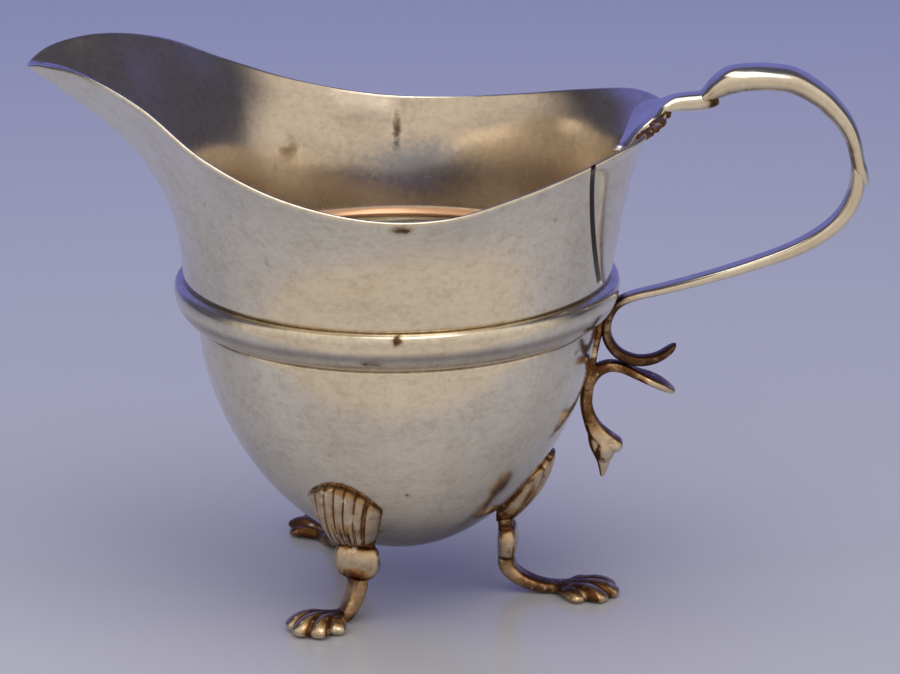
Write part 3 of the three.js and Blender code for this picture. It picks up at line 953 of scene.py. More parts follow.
# %% The handle's leaf and scrolls
# Each station: out from the axis, height, width across, thickness.
LEAF = [
    (36.0, 76.4, 0.8, 0.6),
    (37.2, 76.9, 6.4, 1.3),
    (39.1, 78.1, 12.8, 1.7),
    (41.2, 80.5, 15.8, 1.8),
    (43.0, 82.5, 12.6, 1.8),
    (44.4, 83.8, 6.4, 2.1),
    (46.0, 84.35, 4.9, 2.6),
    (48.0, 84.5, 4.8, 2.9),
    (50.2, 84.7, 4.8, 2.9),
    (51.8, 85.0, 4.8, 2.7),
    (53.0, 85.4, 4.6, 2.2),
]
UPPER_SCROLL = [
    (49.8, 85.0, 4.4, 1.4),
    (51.3, 85.9, 5.4, 2.4),
    (52.8, 87.0, 6.6, 3.4),
    (55.0, 88.15, 7.6, 4.2),
    (58.3, 88.6, 7.8, 4.2),
    (62.0, 88.55, 7.8, 4.1),
    (65.2, 88.0, 7.6, 4.0),
    (69.5, 85.5, 7.0, 3.6),
    (71.9, 83.2, 6.5, 3.3),
    (73.9, 80.6, 6.0, 3.0),
    (75.2, 77.8, 5.4, 2.6),
    (76.05, 74.2, 4.8, 2.35),
    (76.45, 72.6, 4.5, 2.5),
    (77.0, 71.3, 3.6, 2.0),
    (77.6, 70.5, 2.2, 1.2),
    (78.05, 70.1, 0.6, 0.4),
]
LOWER_SCROLL = [
    (75.9, 74.6, 3.4, 1.2),
    (75.9, 73.0, 4.2, 2.0),
    (76.0, 71.2, 4.6, 2.4),
    (75.75, 69.1, 4.6, 2.6),
    (74.4, 65.9, 4.6, 2.6),
    (71.6, 62.8, 4.6, 2.5),
    (66.6, 59.7, 4.5, 2.3),
    (60.1, 57.2, 4.4, 2.0),
    (51.5, 54.55, 4.2, 1.7),
    (44.0, 52.6, 4.0, 1.5),
    (38.8, 51.3, 3.6, 1.5),
    (36.3, 49.9, 3.2, 1.6),
    (35.0, 47.7, 3.0, 1.7),
    (34.7, 45.6, 2.9, 1.7),
    (35.2, 43.5, 2.9, 1.8),
    (36.9, 41.4, 2.9, 1.8),
    (39.9, 40.2, 3.0, 1.8),
    (43.0, 40.6, 3.0, 1.6),
    (45.3, 42.0, 3.0, 1.3),
    (46.4, 43.1, 2.4, 0.8),
]
LEAF_TROUGH = 1.7
leaf_width = max(width for _, _, width, _ in LEAF)
leaf_form = {"Squareness": 2.6, "Trough": LEAF_TROUGH * MM, "Widest": leaf_width * MM}
leaf = bar("leaf", LEAF, handle_finish, **leaf_form)
upper_scroll = bar("upper_scroll", UPPER_SCROLL, handle_finish, Steps=201, Squareness=2.35)
lower_scroll = bar("lower_scroll", LOWER_SCROLL, handle_finish, Steps=241, Squareness=2.8)
handle_pieces = (leaf, upper_scroll, lower_scroll)
print("handle faces:", sum(len(piece.data.polygons) for piece in handle_pieces))

# %% [markdown]
# ## Castings
# The bracket and the paws are castings, with no sharp line where one form runs into the next.
# Their bars and lumps are put into one mesh, which a fine voxel remesh melts together. A few
# rounds of smoothing then do what a file and a polishing mop do to the real casting.

# %% Melt pieces into one casting
def cast_together(name, lumps, voxel, finish, rounds):
    whole = bmesh.new()
    for lump in lumps:
        whole.from_mesh(lump.data)
        bpy.data.objects.remove(lump)
    mesh = bpy.data.meshes.new(name)
    whole.to_mesh(mesh)
    whole.free()
    start = new_object(name + "_lumps", mesh)
    remesh = start.modifiers.new("melt", "REMESH")
    remesh.mode = "VOXEL"
    remesh.voxel_size = voxel * MM
    polish = start.modifiers.new("polish", "SMOOTH")
    polish.iterations = rounds
    cast = as_plain_mesh(start, name)
    cast.materials.clear()
    cast.materials.append(finish)
    return face_outwards(new_object(name, cast))


def lump(place, size):
    ball = bmesh.new()
    bmesh.ops.create_uvsphere(ball, u_segments=28, v_segments=18, radius=0.5)
    for v in ball.verts:
        v.co = (np.array(v.co) * size + place + (AXIS_X, 0, 0)) * MM
    mesh = bpy.data.meshes.new("lump")
    ball.to_mesh(mesh)
    ball.free()
    return new_object("lump", mesh)


print("casting helpers ready")

# %% [markdown]
# Finished pieces are still handled as rows of points: the legs are turned into their places, and
# tarnish is painted where a rule says that a cloth never reached, with painted shade where a rule
# says that a face turns into shadow. The rule gets each point's place on the jug and the way it
# faces, and its answer is kept as an attribute.

# %% Turn a piece and paint its tarnish and shade
def read_points(piece, field="co"):
    values = np.empty(len(piece.data.vertices) * 3)
    piece.data.vertices.foreach_get(field, values)
    return values.reshape(-1, 3)


def jug_places(piece):
    return read_points(piece) / MM - (AXIS_X, 0, 0)


def turned_about_axis(points, degrees):
    angle = np.radians(degrees)
    x = points[..., 0] * np.cos(angle) - points[..., 1] * np.sin(angle)
    y = points[..., 0] * np.sin(angle) + points[..., 1] * np.cos(angle)
    return np.stack([x, y, points[..., 2]], axis=-1)


def move_piece(piece, degrees, x=0.0, y=0.0):
    places = turned_about_axis(jug_places(piece), degrees) + (x + AXIS_X, y, 0)
    piece.data.vertices.foreach_set("co", (places * MM).reshape(-1))
    piece.data.update()
    return piece


def keep_tarnish_and_shade(piece, values):
    layer = piece.data.attributes.new("tarnish_and_shade", "FLOAT", "POINT")
    layer.data.foreach_set("value", np.clip(values, 0, 1))


def paint_tarnish_and_shade(piece, rule):
    keep_tarnish_and_shade(piece, rule(jug_places(piece), read_points(piece, "normal")))


print("painting helpers ready")

# %% [markdown]
# ## Solder under the leaf
# The leaf is fixed to the rim with more solder than is neat. It lies as brown beads between
# the leaf's edge and the rim, with one bright blob at the leaf's tip. Solder runs as it likes,
# so the beads are strewn by chance over that stretch of the rim and then melted together.

# %% Solder under the leaf
SOLDER_SEED = 7
SOLDER_BEADS = 60
SOLDER_FROM_X = 38.5
SOLDER_FROM_Y = -15.5
SOLDER_TO_Y = -1
SOLDER_SAG = 0.3
SOLDER_SAG_INWARDS = 0.12
chance = np.random.default_rng(SOLDER_SEED)
rim_places = sections[WALL_ROWS + EDGE_ROWS // 2]
rim_x, rim_y = rim_places[:, 0], rim_places[:, 1]
near_leaf = (rim_x > SOLDER_FROM_X) & (rim_y > SOLDER_FROM_Y) & (rim_y < SOLDER_TO_Y)
beads = []
for place in chance.choice(rim_places[near_leaf], SOLDER_BEADS):
    inwards = chance.uniform(0.0, 1.3)
    wide, tall = chance.uniform(0.9, 1.7), chance.uniform(0.8, 1.3)
    sag = (0, 0, -SOLDER_SAG - SOLDER_SAG_INWARDS * inwards)
    place = place - inwards * unit(place * (1, 1, 0)) + sag
    beads.append(lump(place, (wide, wide, tall)))
beads.append(lump((44.4, -1.0, 83.2), (1.8, 5.0, 1.6)))
solder = cast_together("solder", beads, 0.16, solder_finish, rounds=9)
blob = lump((37.2, -1.6, 77.0), (3.2, 2.4, 1.7))
blob.name = "solder_blob"
blob.data.materials.append(handle_finish)
face_outwards(blob)
print("solder faces:", len(solder.data.polygons))

# %% [markdown]
# ## The bracket
# The bracket holds the handle's lower scroll off the bowl. It is one casting: a strut that
# widens into a drooping leaf, a short tail below it and a branch that ends in a smaller leaf.
# Three swept bars and a lump give the forms, and melting them together rounds the forks.

# %% The bracket under the handle
BRACKET_STEM = [
    (34.1, 48.4, 1.8, 1.3),
    (33.7, 46.6, 1.9, 1.4),
    (33.1, 43.6, 2.1, 1.3),
    (32.4, 40.6, 2.6, 1.5),
    (31.8, 37.8, 3.0, 1.9),
    (31.6, 35.4, 3.0, 2.1),
    (31.4, 32.9, 3.0, 2.1),
    (31.9, 30.4, 3.0, 2.3),
    (33.1, 27.9, 3.6, 3.0),
    (35.0, 26.1, 4.2, 3.2),
    (36.9, 25.3, 4.0, 2.2),
    (37.6, 25.0, 2.2, 1.0),
]
BRACKET_TAIL = [
    (32.3, 29.0, 2.4, 1.8),
    (33.5, 26.0, 3.2, 3.4),
    (34.3, 22.8, 2.2, 2.4),
    (34.1, 19.7, 0.7, 0.6),
]
BRACKET_BRANCH = [
    (31.5, 33.6, 2.2, 1.2),
    (31.7, 35.8, 2.8, 2.0),
    (32.5, 37.6, 2.9, 2.2),
    (33.8, 38.8, 3.0, 2.1),
    (35.6, 39.3, 3.0, 1.9),
    (37.6, 38.9, 3.2, 1.7),
    (39.8, 37.9, 3.8, 1.6),
    (42.0, 37.0, 5.6, 1.6),
    (44.2, 35.9, 5.2, 1.5),
    (46.3, 34.6, 2.0, 0.8),
]
arms = [
    bar("arm", stations, casting_finish)
    for stations in (BRACKET_STEM, BRACKET_TAIL, BRACKET_BRANCH)
]
arms.append(lump((34.5, 0, 25.0), (3.8, 4.6, 5.4)))
bracket = cast_together("bracket", arms, 0.15, casting_finish, rounds=8)
print("bracket faces:", len(bracket.data.polygons))

# %% [markdown]
# ## The legs
# Each leg has a fluted shell that hugs the bowl, a knop like a flattened bead, a bent shank
# and a paw of five toes. All legs share one pattern, and a short list says how each of them
# stands. The front-left leg is set a little high and bent in under the bowl.

# %% How the legs stand
NO_GROOVE_SHADE = 9
# Where each leg stands: the root's direction and the neck's distance from the axis, how far it is
# lifted, how far and where its shank reaches, where the toes point, how long and tall the paw is,
# how dark it is, how much the shell is twisted and leans, how sharply the shank bends, and where a
# painted dark line, the shade of a groove, parts off the shell's last flute. Directions are degrees
# round the axis.
LEGS = [
    dict(name="back", root=-4, knop=18.2, lift=0.0, reach=8.0, paw=-7, toes=-16,
         long=1.0, tall=0.85, paw_darkening=0.1, twist=0, lean=0.0, bow=0.8, groove_shade_at=NO_GROOVE_SHADE),
    dict(name="left", root=-115.5, knop=16.2, lift=1.2, reach=3.15, paw=-157, toes=-131,
         long=0.94, tall=1.0, paw_darkening=-0.15, twist=5, lean=0.1, bow=0.6, groove_shade_at=0.66),
    dict(name="right", root=120, knop=18.2, lift=0.3, reach=8.4, paw=116, toes=110,
         long=1.0, tall=0.85, paw_darkening=0.5, twist=0, lean=0.0, bow=0.8, groove_shade_at=NO_GROOVE_SHADE),
]
print("legs:", [leg["name"] for leg in LEGS])

# %% [markdown]
# The shell is a fan of flutes. Its back must lie against the bowl, so each section, from one
# side of the fan to the other, is worked out from the bowl's own curve: a row of points a
# solder's width off the bowl, and a row in front of it that rises and falls with the flutes.
# Tarnish is kept in the same loop, because a groove's depth is known there, and so is a painted
# dark line on the left leg's shell: the shade of a groove between two flutes, which the shell's
# surface doesn't have.

# %% The shells' sections
SHELL_FOOT_Z = 13.4
SHELL_TOP_Z = 25.5
SHELL_FOOT_WIDTH = 6.4
SHELL_TOP_WIDTH = 12.8
SHELL_EDGE = 0.9
SHELL_CROWN = 2.2
SHELL_ARCH = 0.3
FLUTES = 7
FLUTE_DEPTH = 0.42
SCALLOP = 0.015
SIDE_THINNING = 0.6
KNOP_BACK = 1.5
OFF_THE_BOWL = 0.05
BACK_TARNISH = 0.7
SHELL_ACROSS = 140
SHELL_UPWARDS = 40
BOWL_POINTS = 2000
BOWL_CURVE = np.array([np.ravel(bowl_side(i / BOWL_POINTS)) for i in range(BOWL_POINTS + 1)])
CURVE_RADIUS, CURVE_Z, CURVE_NORMAL_X, CURVE_NORMAL_Z = BOWL_CURVE.T


def shell_thickness(ridge, side, up):
    crown = SHELL_CROWN * (1 - up**2.2) ** 0.8 * (1 - side**4)
    groove = FLUTE_DEPTH * (1 - ridge) ** 2 * (0.4 + 0.6 * up) * (1 - up**12)
    edge = SHELL_EDGE * (1 - SIDE_THINNING * side**6) * (1 - 0.35 * up**6)
    return edge + crown - groove


# Its last term paints a dark line: painted shade of a groove that the shell doesn't have.
def shell_tarnish_and_shade(ridge, side, up, groove_shade_at):
    groove = 0.1 + 1.1 * (1 - ridge) ** 5
    foot_and_top = 3.0 * max(0, 0.28 - up) + 9.0 * max(0, up - 0.95)
    return groove + foot_and_top + 0.9 * math.exp(-(((side - groove_shade_at) / 0.03) ** 2))


def shell_section(leg, side, ridge):
    """One closed section from the foot up the back and down the front, and its tarnish and painted
    shade.
    """
    foot_radius = leg["knop"] - KNOP_BACK
    foot_z = SHELL_FOOT_Z + leg["lift"]
    low = max(np.interp(foot_radius, CURVE_RADIUS, CURVE_Z), foot_z + SOLDER)
    high = SHELL_TOP_Z + leg["lift"]
    back, front, tarnish_and_shade = [], [], []
    for k in range(SHELL_UPWARDS + 1):
        up = k / SHELL_UPWARDS
        wide = SHELL_FOOT_WIDTH + (SHELL_TOP_WIDTH - SHELL_FOOT_WIDTH) * up**0.65
        aside = 0.5 * side * wide
        reach = up * (1 - SHELL_ARCH * side**2 - SCALLOP * (1 - ridge) - leg["lean"] * side)
        z = low + (high - low) * reach
        radius = np.interp(z, CURVE_Z, CURVE_RADIUS) + OFF_THE_BOWL
        normal_x = np.interp(z, CURVE_Z, CURVE_NORMAL_X)
        normal_z = np.interp(z, CURVE_Z, CURVE_NORMAL_Z)
        out = math.sqrt(radius**2 - aside**2)
        thick = shell_thickness(ridge, side, up) + (SOLDER - OFF_THE_BOWL) / normal_x
        front_x, front_z = out + thick * normal_x, max(z + thick * normal_z, foot_z + 0.1)
        shade = shell_tarnish_and_shade(ridge, side, up, leg["groove_shade_at"])
        if k == 0:
            back.append((min(foot_radius, out), aside, foot_z))
            front.append((front_x, aside, foot_z))
            tarnish_and_shade.append(shade)
        back.append((out, aside, z))
        front.append((front_x, aside, front_z))
        tarnish_and_shade.append(shade)
    return back + front[::-1], [BACK_TARNISH] * len(back) + tarnish_and_shade[::-1]


def shell_sections(leg):
    made = []
    for i in range(SHELL_ACROSS + 1):
        side = 2 * i / SHELL_ACROSS - 1
        ridge = abs(math.sin(FLUTES * math.pi * i / SHELL_ACROSS))
        made.append(shell_section(leg, side, ridge))
    return np.array([places for places, _ in made]), np.array([shades for _, shades in made])


print("points in a shell's section:", len(shell_sections(LEGS[0])[0][0]))

# %% [markdown]
# The sections are joined side by side, and a strip of faces closes each end. Then the shell
# is turned to its leg, and the twist grows with the height, so that a bent leg's shell leans.

# %% The fluted shells
def closed_loft(name, rows):
    sections, around = rows.shape[:2]
    faces = []
    for s in range(sections - 1):
        for a in range(around):
            b = (a + 1) % around
            here, there = s * around, (s + 1) * around
            faces.append((here + a, here + b, there + b, there + a))
    last = (sections - 1) * around
    for k in range(around // 2 - 1):
        a, b, c, d = k, k + 1, around - 2 - k, around - 1 - k
        faces.append((a, d, c, b))
        faces.append((last + a, last + b, last + c, last + d))
    return mesh_object(name, rows.reshape(-1, 3), faces)


shells = []
for leg in LEGS:
    rows, shades = shell_sections(leg)
    height = (rows[..., 2] - rows[..., 2].min()) / (rows[..., 2].max() - rows[..., 2].min())
    rows = turned_about_axis(rows, leg["root"] + leg["twist"] * height)
    shell = closed_loft("shell_" + leg["name"], rows)
    keep_tarnish_and_shade(shell, shades.reshape(-1))
    shell.data.materials.append(casting_finish)
    shells.append(face_outwards(shell))
print("shells:", [s.name for s in shells])

# %% [markdown]
# Below the shell come the knop and the shank, which were turned and filed, so they are bars again.
# The paw is a casting: a broad instep and five toes, which the cast melts together and whose soles
# are filed flat. Each part is made in its own place first, pointing along X, then gets its tarnish
# and painted shade, and is turned and moved to its leg last.

# %% The paw's pattern
KNOP = [
    (-0.4, 5.8, 4.0, 2.4),
    (-0.35, 6.5, 5.0, 2.7),
    (-0.2, 7.2, 7.0, 3.2),
    (0.0, 8.6, 8.0, 3.5),
    (0.0, 10.2, 8.0, 3.5),
    (-0.15, 11.3, 7.2, 3.1),
    (-0.3, 12.1, 6.0, 2.6),
    (-0.3, 12.8, 6.4, 2.7),
    (-0.3, 13.7, 6.6, 2.8),
]
KNOP_NECKS_Z = (6.4, 12.1)
SHANK_TOP_Z = 4.9
ANKLE_Z = 1.0
HEEL_GAP = 0.6
PAW_HEIGHT = 3.3
# Each toe: how far from the ankle its tip is, its direction in degrees, width, part of full height.
TOES = [
    (11.0, 0, 3.6, 1.0),
    (10.2, 20, 3.5, 0.95),
    (10.2, -20, 3.5, 0.95),
    (7.6, 41, 3.0, 0.75),
    (7.6, -41, 3.0, 0.75),
]
GAPS_BETWEEN_TOES = (10, -10, 30.5, -30.5)


def instep_piece(reach):
    stations = [
        (-HEEL_GAP, 1.0, 3.5, 1.8),
        (0.3 * reach, 1.05, 5.4, 2.1),
        (0.62 * reach, 1.05, 8.0, 2.1),
        (0.85 * reach, 0.8, 6.5, 1.4),
    ]
    return bar("instep", stations, casting_finish, Steps=61)


def toe_piece(reach, degrees, width, tall):
    stations = [
        (-HEEL_GAP, 1.05, 2.4, 1.8),
        (0.3 * reach, 0.44 * tall, 0.75 * width, 0.8 * tall),
        (0.62 * reach, 0.5 * tall, width, tall),
        (0.8 * reach, 0.42 * tall, width, 0.9 * tall),
        (0.93 * reach, 0.31 * tall, 0.85 * width, 0.62 * tall),
        (reach, 0.2 * tall, 0.5 * width, 0.3 * tall),
    ]
    toe = bar("toe", stations, casting_finish, Steps=61, Squareness=2.1, End_Rounding=0.05)
    return move_piece(toe, degrees)


def paw_piece(name, long, tallness):
    lumps = [instep_piece(TOES[0][0] * long)]
    for reach, degrees, width, height in TOES:
        lumps.append(toe_piece(reach * long, degrees, width, height * PAW_HEIGHT * tallness))
    paw = cast_together(name, lumps, 0.13, casting_finish, rounds=3)
    for v in paw.data.vertices:
        v.co.z = max(v.co.z, 0.0)
    return paw


print("toes on a paw:", len(TOES))

# %% [markdown]
# Polish misses the narrow places of a leg: the knop's necks, the ankle and the gaps between the
# toes. The rules below say how much brown is left there, from each point's own place. On the shanks
# and paws they also darken faces that turn up towards the bowl above them: that is painted shade.

# %% Tarnish and painted shade rules for a leg
def facing_up(normals):
    return np.clip((normals[:, 2] - 0.6) / 0.3, 0, 1)


def around_height(places, z, reach):
    return np.exp(-(((places[:, 2] - z) / reach) ** 2))


def knop_tarnish(leg):
    lower_neck, upper_neck = (leg["lift"] + z for z in KNOP_NECKS_Z)

    def rule(places, normals):
        necks = around_height(places, lower_neck, 0.6) + around_height(places, upper_neck, 0.6)
        return 0.15 + 1.0 * necks + 0.6 * (places[:, 2] > upper_neck + 0.1)

    return rule


# Upward faces, under the bowl, are darkened as painted shade.
def shank_tarnish_and_shade(places, normals):
    top = around_height(places, places[:, 2].max(), 1.2)
    ankle = around_height(places, ANKLE_Z, 1.2)
    return 0.4 + 0.35 * ankle + 0.4 * top + 0.7 * facing_up(normals)


# Upward faces, under the bowl, are darkened as painted shade; the gaps and the ankle keep tarnish.
def paw_tarnish_and_shade(places, normals):
    reach = np.hypot(places[:, 0], places[:, 1])
    angle = np.degrees(np.arctan2(places[:, 1], np.maximum(places[:, 0], 0.01)))
    gaps = sum(np.exp(-(((angle - gap) / 3.0) ** 2)) for gap in GAPS_BETWEEN_TOES)
    gaps = gaps * np.clip((reach - 2.5) / 2, 0, 1)
    return 1.0 * gaps + 0.9 * np.exp(-((reach / 5.0) ** 2)) + 0.35 * facing_up(normals)


print("leg rules ready")

# %% [markdown]
# The three legs are made in one loop from the list of legs. A knop stands under its shell, a
# shank starts from the knop's lower neck, and a paw's heel lies just past the shank's reach.

# %% Knops, shanks and paws
SHANK_BENDS = 8


def make_knop(leg):
    stations = [(leg["knop"] + out, z + leg["lift"], wide, thick) for out, z, wide, thick in KNOP]
    knop = bar("knop_" + leg["name"], stations, casting_finish, End_Rounding=0.01)
    paint_tarnish_and_shade(knop, knop_tarnish(leg))
    return move_piece(knop, leg["root"])


def make_shank(leg, neck):
    top = SHANK_TOP_Z + leg["lift"]
    stations = [(0.1, top + 1.4, 4.3, 2.7)]
    for i in range(SHANK_BENDS + 1):
        part = i / SHANK_BENDS
        turn = part * math.pi / 2
        stations.append((
            0.25 + (leg["reach"] - 0.25) * (1 - math.cos(turn)) ** leg["bow"],
            top + (ANKLE_Z - top) * math.sin(turn),
            4.4 - 0.6 * part,
            2.9 - 1.0 * part,
        ))
    stations.append((leg["reach"] + 1.4, ANKLE_Z + 0.05, 3.6, 1.7))
    shank = bar("shank_" + leg["name"], stations, casting_finish)
    paint_tarnish_and_shade(shank, shank_tarnish_and_shade)
    return move_piece(shank, leg["paw"], *neck)


def make_paw(leg, heel):
    paw = paw_piece("paw_" + leg["name"], leg["long"], leg["tall"])
    # Each paw is made darker all over by its own amount.
    paint_tarnish_and_shade(paw, lambda places, normals: leg["paw_darkening"] + paw_tarnish_and_shade(places, normals))
    return move_piece(paw, leg["toes"], *heel)


def stepped(start, distance, degrees):
    angle = math.radians(degrees)
    return start[0] + distance * math.cos(angle), start[1] + distance * math.sin(angle)


knops, shanks, paws = [], [], []
for leg in LEGS:
    neck = stepped((0, 0), leg["knop"] + KNOP[0][0], leg["root"])
    heel = stepped(neck, leg["reach"] + HEEL_GAP, leg["paw"])
    knops.append(make_knop(leg))
    shanks.append(make_shank(leg, neck))
    paws.append(make_paw(leg, heel))
print("leg faces:", sum(len(p.data.polygons) for p in shells + knops + shanks + paws))

# %% [markdown]
# ## Tarnish and painted shade on the handle and the bracket
# The handle is bright where fingers rub it and darker towards its joints, and faces that look into
# its loop are darkened as painted shade. The bracket is hard to wipe, so it is brown all over, and
# only its two leaves were ever rubbed bright. Each piece has its own rule, and they share two: how
# much a face looks into the handle's loop, and how much it looks back at the jug. Both darken a
# face as painted shade, and so do faces that turn up under the girdle.

# %% Paint the tarnish and painted shade
LOOP_MIDDLE = np.array((58.0, 0.0, 72.0))


def facing_the_loop(places, normals):
    inward = unit(LOOP_MIDDLE - places)
    return np.clip(((normals * inward).sum(axis=1) + 0.3) / 1.2, 0, 1)


def facing_the_jug(normals):
    return np.clip((-normals[:, 0] - 0.3) / 0.4, 0, 1)


def leaf_tarnish(places, normals):
    return 0.1 + 0.85 * np.exp(-(((places[:, 0] - 52.2) / 1.3) ** 2))


# Faces that look into the loop are darkened as painted shade.
def upper_tarnish_and_shade(places, normals):
    joint = np.exp(-(((places[:, 0] - 51.0) / 1.0) ** 2))
    return 0.08 + 0.3 * joint + 0.6 * facing_the_loop(places, normals)


def solder_tarnish(places, normals):
    return np.full(len(places), 0.8)


# Faces near the wall that look back at the jug, and the curl's upward faces, are darkened as
# painted shade.
def lower_tarnish_and_shade(places, normals):
    curl = np.clip((52.0 - places[:, 2]) / 2, 0, 1)
    near_wall = np.clip((60.0 - places[:, 0]) / 6, 0, 1)
    in_jug_shade = near_wall * facing_the_jug(normals)
    return 0.16 + 0.62 * curl + 0.9 * curl * facing_up(normals) + 1.2 * in_jug_shade


# Faces that turn up or look back at the jug are darkened as painted shade.
def bracket_tarnish_and_shade(places, normals):
    droop = np.clip((30.0 - places[:, 2]) / 2.5, 0, 1)
    tip = np.clip((places[:, 0] - 39.0) / 3.0, 0, 1)
    bright = 0.8 * np.maximum(droop, tip)
    return 0.8 - bright + 0.9 * facing_up(normals) + 1.2 * facing_the_jug(normals)


paint_tarnish_and_shade(leaf, leaf_tarnish)
paint_tarnish_and_shade(upper_scroll, upper_tarnish_and_shade)
paint_tarnish_and_shade(lower_scroll, lower_tarnish_and_shade)
paint_tarnish_and_shade(bracket, bracket_tarnish_and_shade)
paint_tarnish_and_shade(solder, solder_tarnish)
print("tarnish painted")

# %% [markdown]
# ## Put the pieces in the jug's place
# The jug is rigid, so every piece rides on its one body. Each piece stands for the plain solid of
# its part, which is hidden. The solder has no solid, so it stands for none.

# %% Tie each piece to its solid
def stands_for(piece, slot, *nodes):
    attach(piece, "root")
    if nodes:
        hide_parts(*nodes)


stands_for(bowl, "bowl_silver", "lower_bowl")
stands_for(girdle, "band_silver", "girdle_band")
stands_for(wall, "wall_silver", "upper_wall")
stands_for(leaf, "handle_silver", "handle_leaf")
stands_for(upper_scroll, "handle_silver", "handle_upper_scroll")
stands_for(solder, "handle_silver")
stands_for(blob, "handle_silver")
stands_for(lower_scroll, "handle_silver", "handle_lower_scroll")
stands_for(bracket, "bracket_silver", "handle_bracket")
for leg, shell, knop, shank, paw in zip(LEGS, shells, knops, shanks, paws):
    node = "leg_" + leg["name"]
    stands_for(shell, "shell_silver", node + "_shell")
    stands_for(knop, "leg_silver", node + "_knop")
    stands_for(shank, "leg_silver", node + "_shank")
    stands_for(paw, "paw_silver", node + "_paw")
print("pieces tied:", 9 + 4 * len(LEGS))

# %% [markdown]
# ## The table, the light and the camera
# Silver shows what stands round it, so a jug of bright metal needs a room to look right. The table
# is a plain pale lilac with a faint gloss. It is darker and bluer behind the jug, where it runs up
# into the backdrop: the darkening is painted shade, where the light falls off. It is warmer in
# front, towards the warm wall that the camera never sees.

# %% The table
TABLE_HALF = 1.6
TABLE_PALE = linear(206, 211, 225)
TABLE_CLOUDED = linear(200, 205, 220)
TABLE_FAR_SHADE = linear(143, 153, 197)
TABLE_WARM = linear(232, 225, 216)
table_finish = bpy.data.materials.new("pale_table")
table_finish.use_nodes = True
recipe = Recipe(table_finish.node_tree)
table_surface = table_finish.node_tree.nodes["Principled BSDF"]
place = recipe.add("ShaderNodeTexCoord").outputs["Object"]
depth = recipe.split(place)[1]
cloth = noise(recipe, place, 9, 3, 0.5)
near_colour = blend_colours(recipe, cloth, TABLE_PALE, TABLE_CLOUDED)
# Painted shade: the table darkens away from the jug, where the light falls off.
far_shade = between(recipe, depth, -0.03, 0.6, smooth=False)
graded = blend_colours(recipe, far_shade, near_colour, TABLE_FAR_SHADE)
in_front = between(recipe, depth, -0.05, -0.1)
table_colour = blend_colours(recipe, in_front, graded, TABLE_WARM)
recipe.feed(table_surface.inputs["Base Color"], table_colour)
recipe.feed(table_surface.inputs["Roughness"], recipe.plus(0.16, cloth, 0.12))
table_surface.inputs["Specular IOR Level"].default_value = 0.4

table_mesh = bpy.data.meshes.new("table")
corners = [(x * TABLE_HALF, y * TABLE_HALF, 0) for x, y in ((-1, -1), (1, -1), (1, 1), (-1, 1))]
table_mesh.from_pydata(corners, [], [(0, 1, 2, 3)])
table_mesh.materials.append(table_finish)
table = new_object("table", table_mesh)
print("table ready")

# %% [markdown]
# The room is painted on the world, by the direction that a ray looks in. Behind the jug hangs
# a lilac backdrop in a dark room, with a bluish gleam high up. In front there is a warm pale
# wall with a bright stretch near the ceiling.

# %% The room's light
WALL_LOW = linear(196, 186, 176)
WALL_HIGH = linear(216, 206, 194)
WALL_GLEAM = linear(234, 224, 208)
DARK_ROOM = linear(78, 78, 92)
BACKDROP = linear(110, 113, 186)
HIGH_GLEAM = linear(86, 94, 110)
world = bpy.data.worlds.new("room")
bpy.context.scene.world = world
world.use_nodes = True
recipe = Recipe(world.node_tree)
sky = world.node_tree.nodes["Background"]
direction = recipe.add("ShaderNodeTexCoord").outputs["Generated"]
x, y, z = recipe.split(direction)
front_wall = blend_colours(recipe, between(recipe, z, 0.1, 0.65), WALL_LOW, WALL_HIGH)
front_wall = blend_colours(recipe, between(recipe, z, 0.74, 0.88), front_wall, WALL_GLEAM)
behind = between(recipe, recipe.math("ABSOLUTE", x), 0.8, 0.5)
paper = recipe.math("MULTIPLY", behind, between(recipe, z, 0.62, 0.45))
back_wall = blend_colours(recipe, paper, DARK_ROOM, BACKDROP)
back_wall = blend_colours(recipe, between(recipe, z, 0.82, 0.92), back_wall, HIGH_GLEAM)
room = blend_colours(recipe, between(recipe, y, 0.26, -0.16), back_wall, front_wall)
recipe.feed(sky.inputs["Color"], room)
sky.inputs["Strength"].default_value = 1.18
print("room ready")

# %% [markdown]
# One wide soft lamp hangs over the jug, a little to the lip's side and in front. It gives the
# bright edge along the rim and the soft shadow under the bowl.

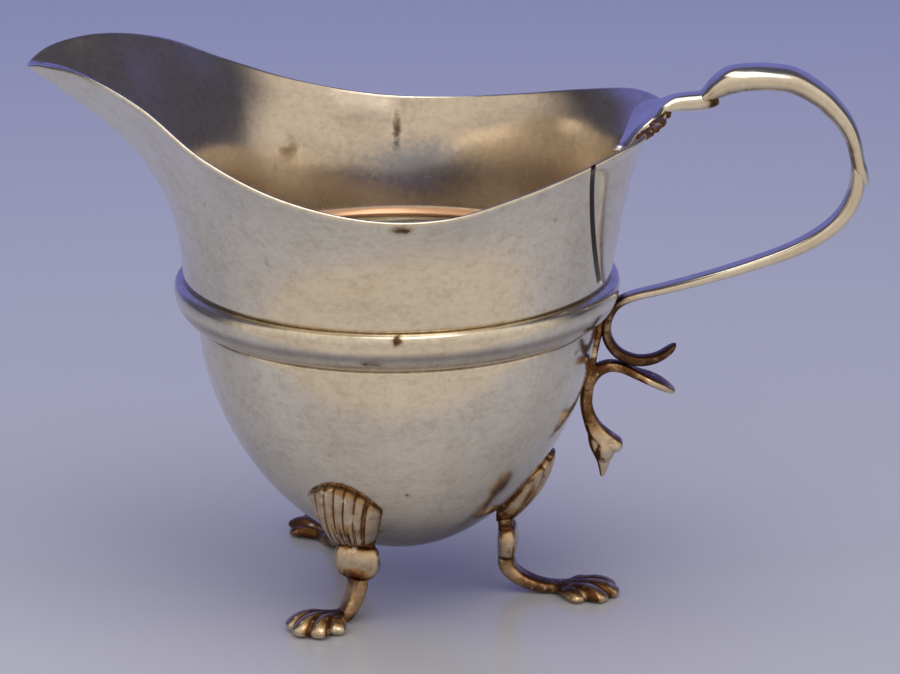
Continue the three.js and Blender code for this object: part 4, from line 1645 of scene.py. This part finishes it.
# %% The lamp
LAMP_PLACE = (-60, -30, 1100)
LAMP_AIM = (0, 0, 50)
LAMP_SIZE = (1.6, 0.56)
LAMP_POWER = 4.2
LAMP_COLOUR = (1.0, 0.98, 0.95)


def stand_at(thing, right, upward, back, place):
    turn = Matrix(np.column_stack([right, upward, back]).tolist()).to_4x4()
    thing.matrix_world = Matrix.Translation(place) @ turn


lamp_light = bpy.data.lights.new("key_lamp", "AREA")
lamp_light.shape = "RECTANGLE"
lamp_light.size, lamp_light.size_y = LAMP_SIZE
lamp_light.energy = LAMP_POWER
lamp_light.color = LAMP_COLOUR
lamp = new_object("key_lamp", lamp_light)
lamp_back = unit(np.subtract(LAMP_PLACE, LAMP_AIM))
lamp_right = unit(np.cross((0, 0, 1), lamp_back))
lamp_up = np.cross(lamp_back, lamp_right)
stand_at(lamp, lamp_right, lamp_up, lamp_back, np.array(LAMP_PLACE) * MM)
print("lamp hangs at", LAMP_PLACE, "mm")

# %% [markdown]
# The camera looks down on the jug from the photograph's side. It stands well back with a long
# lens, because the mouth's ellipse is so even there, and it is tilted by half a degree.

# %% The camera
ELEVATION = math.radians(17.2)
ROLL = math.radians(0.47)
DISTANCE = 700.0
LOOK_AT = np.array((8.68 + AXIS_X, 0, 44.5))
SENSOR_WIDTH = 36.0
PICTURE_WIDTH_PX = 900
FOCAL_LENGTH_PX = 4200
forward = np.array((0, math.cos(ELEVATION), -math.sin(ELEVATION)))
level = np.array((1.0, 0, 0))
rise = np.array((0, math.sin(ELEVATION), math.cos(ELEVATION)))
right = math.cos(ROLL) * level - math.sin(ROLL) * rise
upward = math.sin(ROLL) * level + math.cos(ROLL) * rise
stand = (LOOK_AT - DISTANCE * forward) * MM
lens = bpy.data.cameras.new("camera")
lens.sensor_width = SENSOR_WIDTH
lens.lens = FOCAL_LENGTH_PX / PICTURE_WIDTH_PX * SENSOR_WIDTH
lens.clip_start = 0.05
lens.clip_end = 20.0
camera = new_object("camera", lens)
stand_at(camera, right, upward, -forward, stand)
bpy.context.scene.camera = camera
bpy.context.scene.view_settings.view_transform = "Standard"
print("camera stands at", np.round(stand, 3))
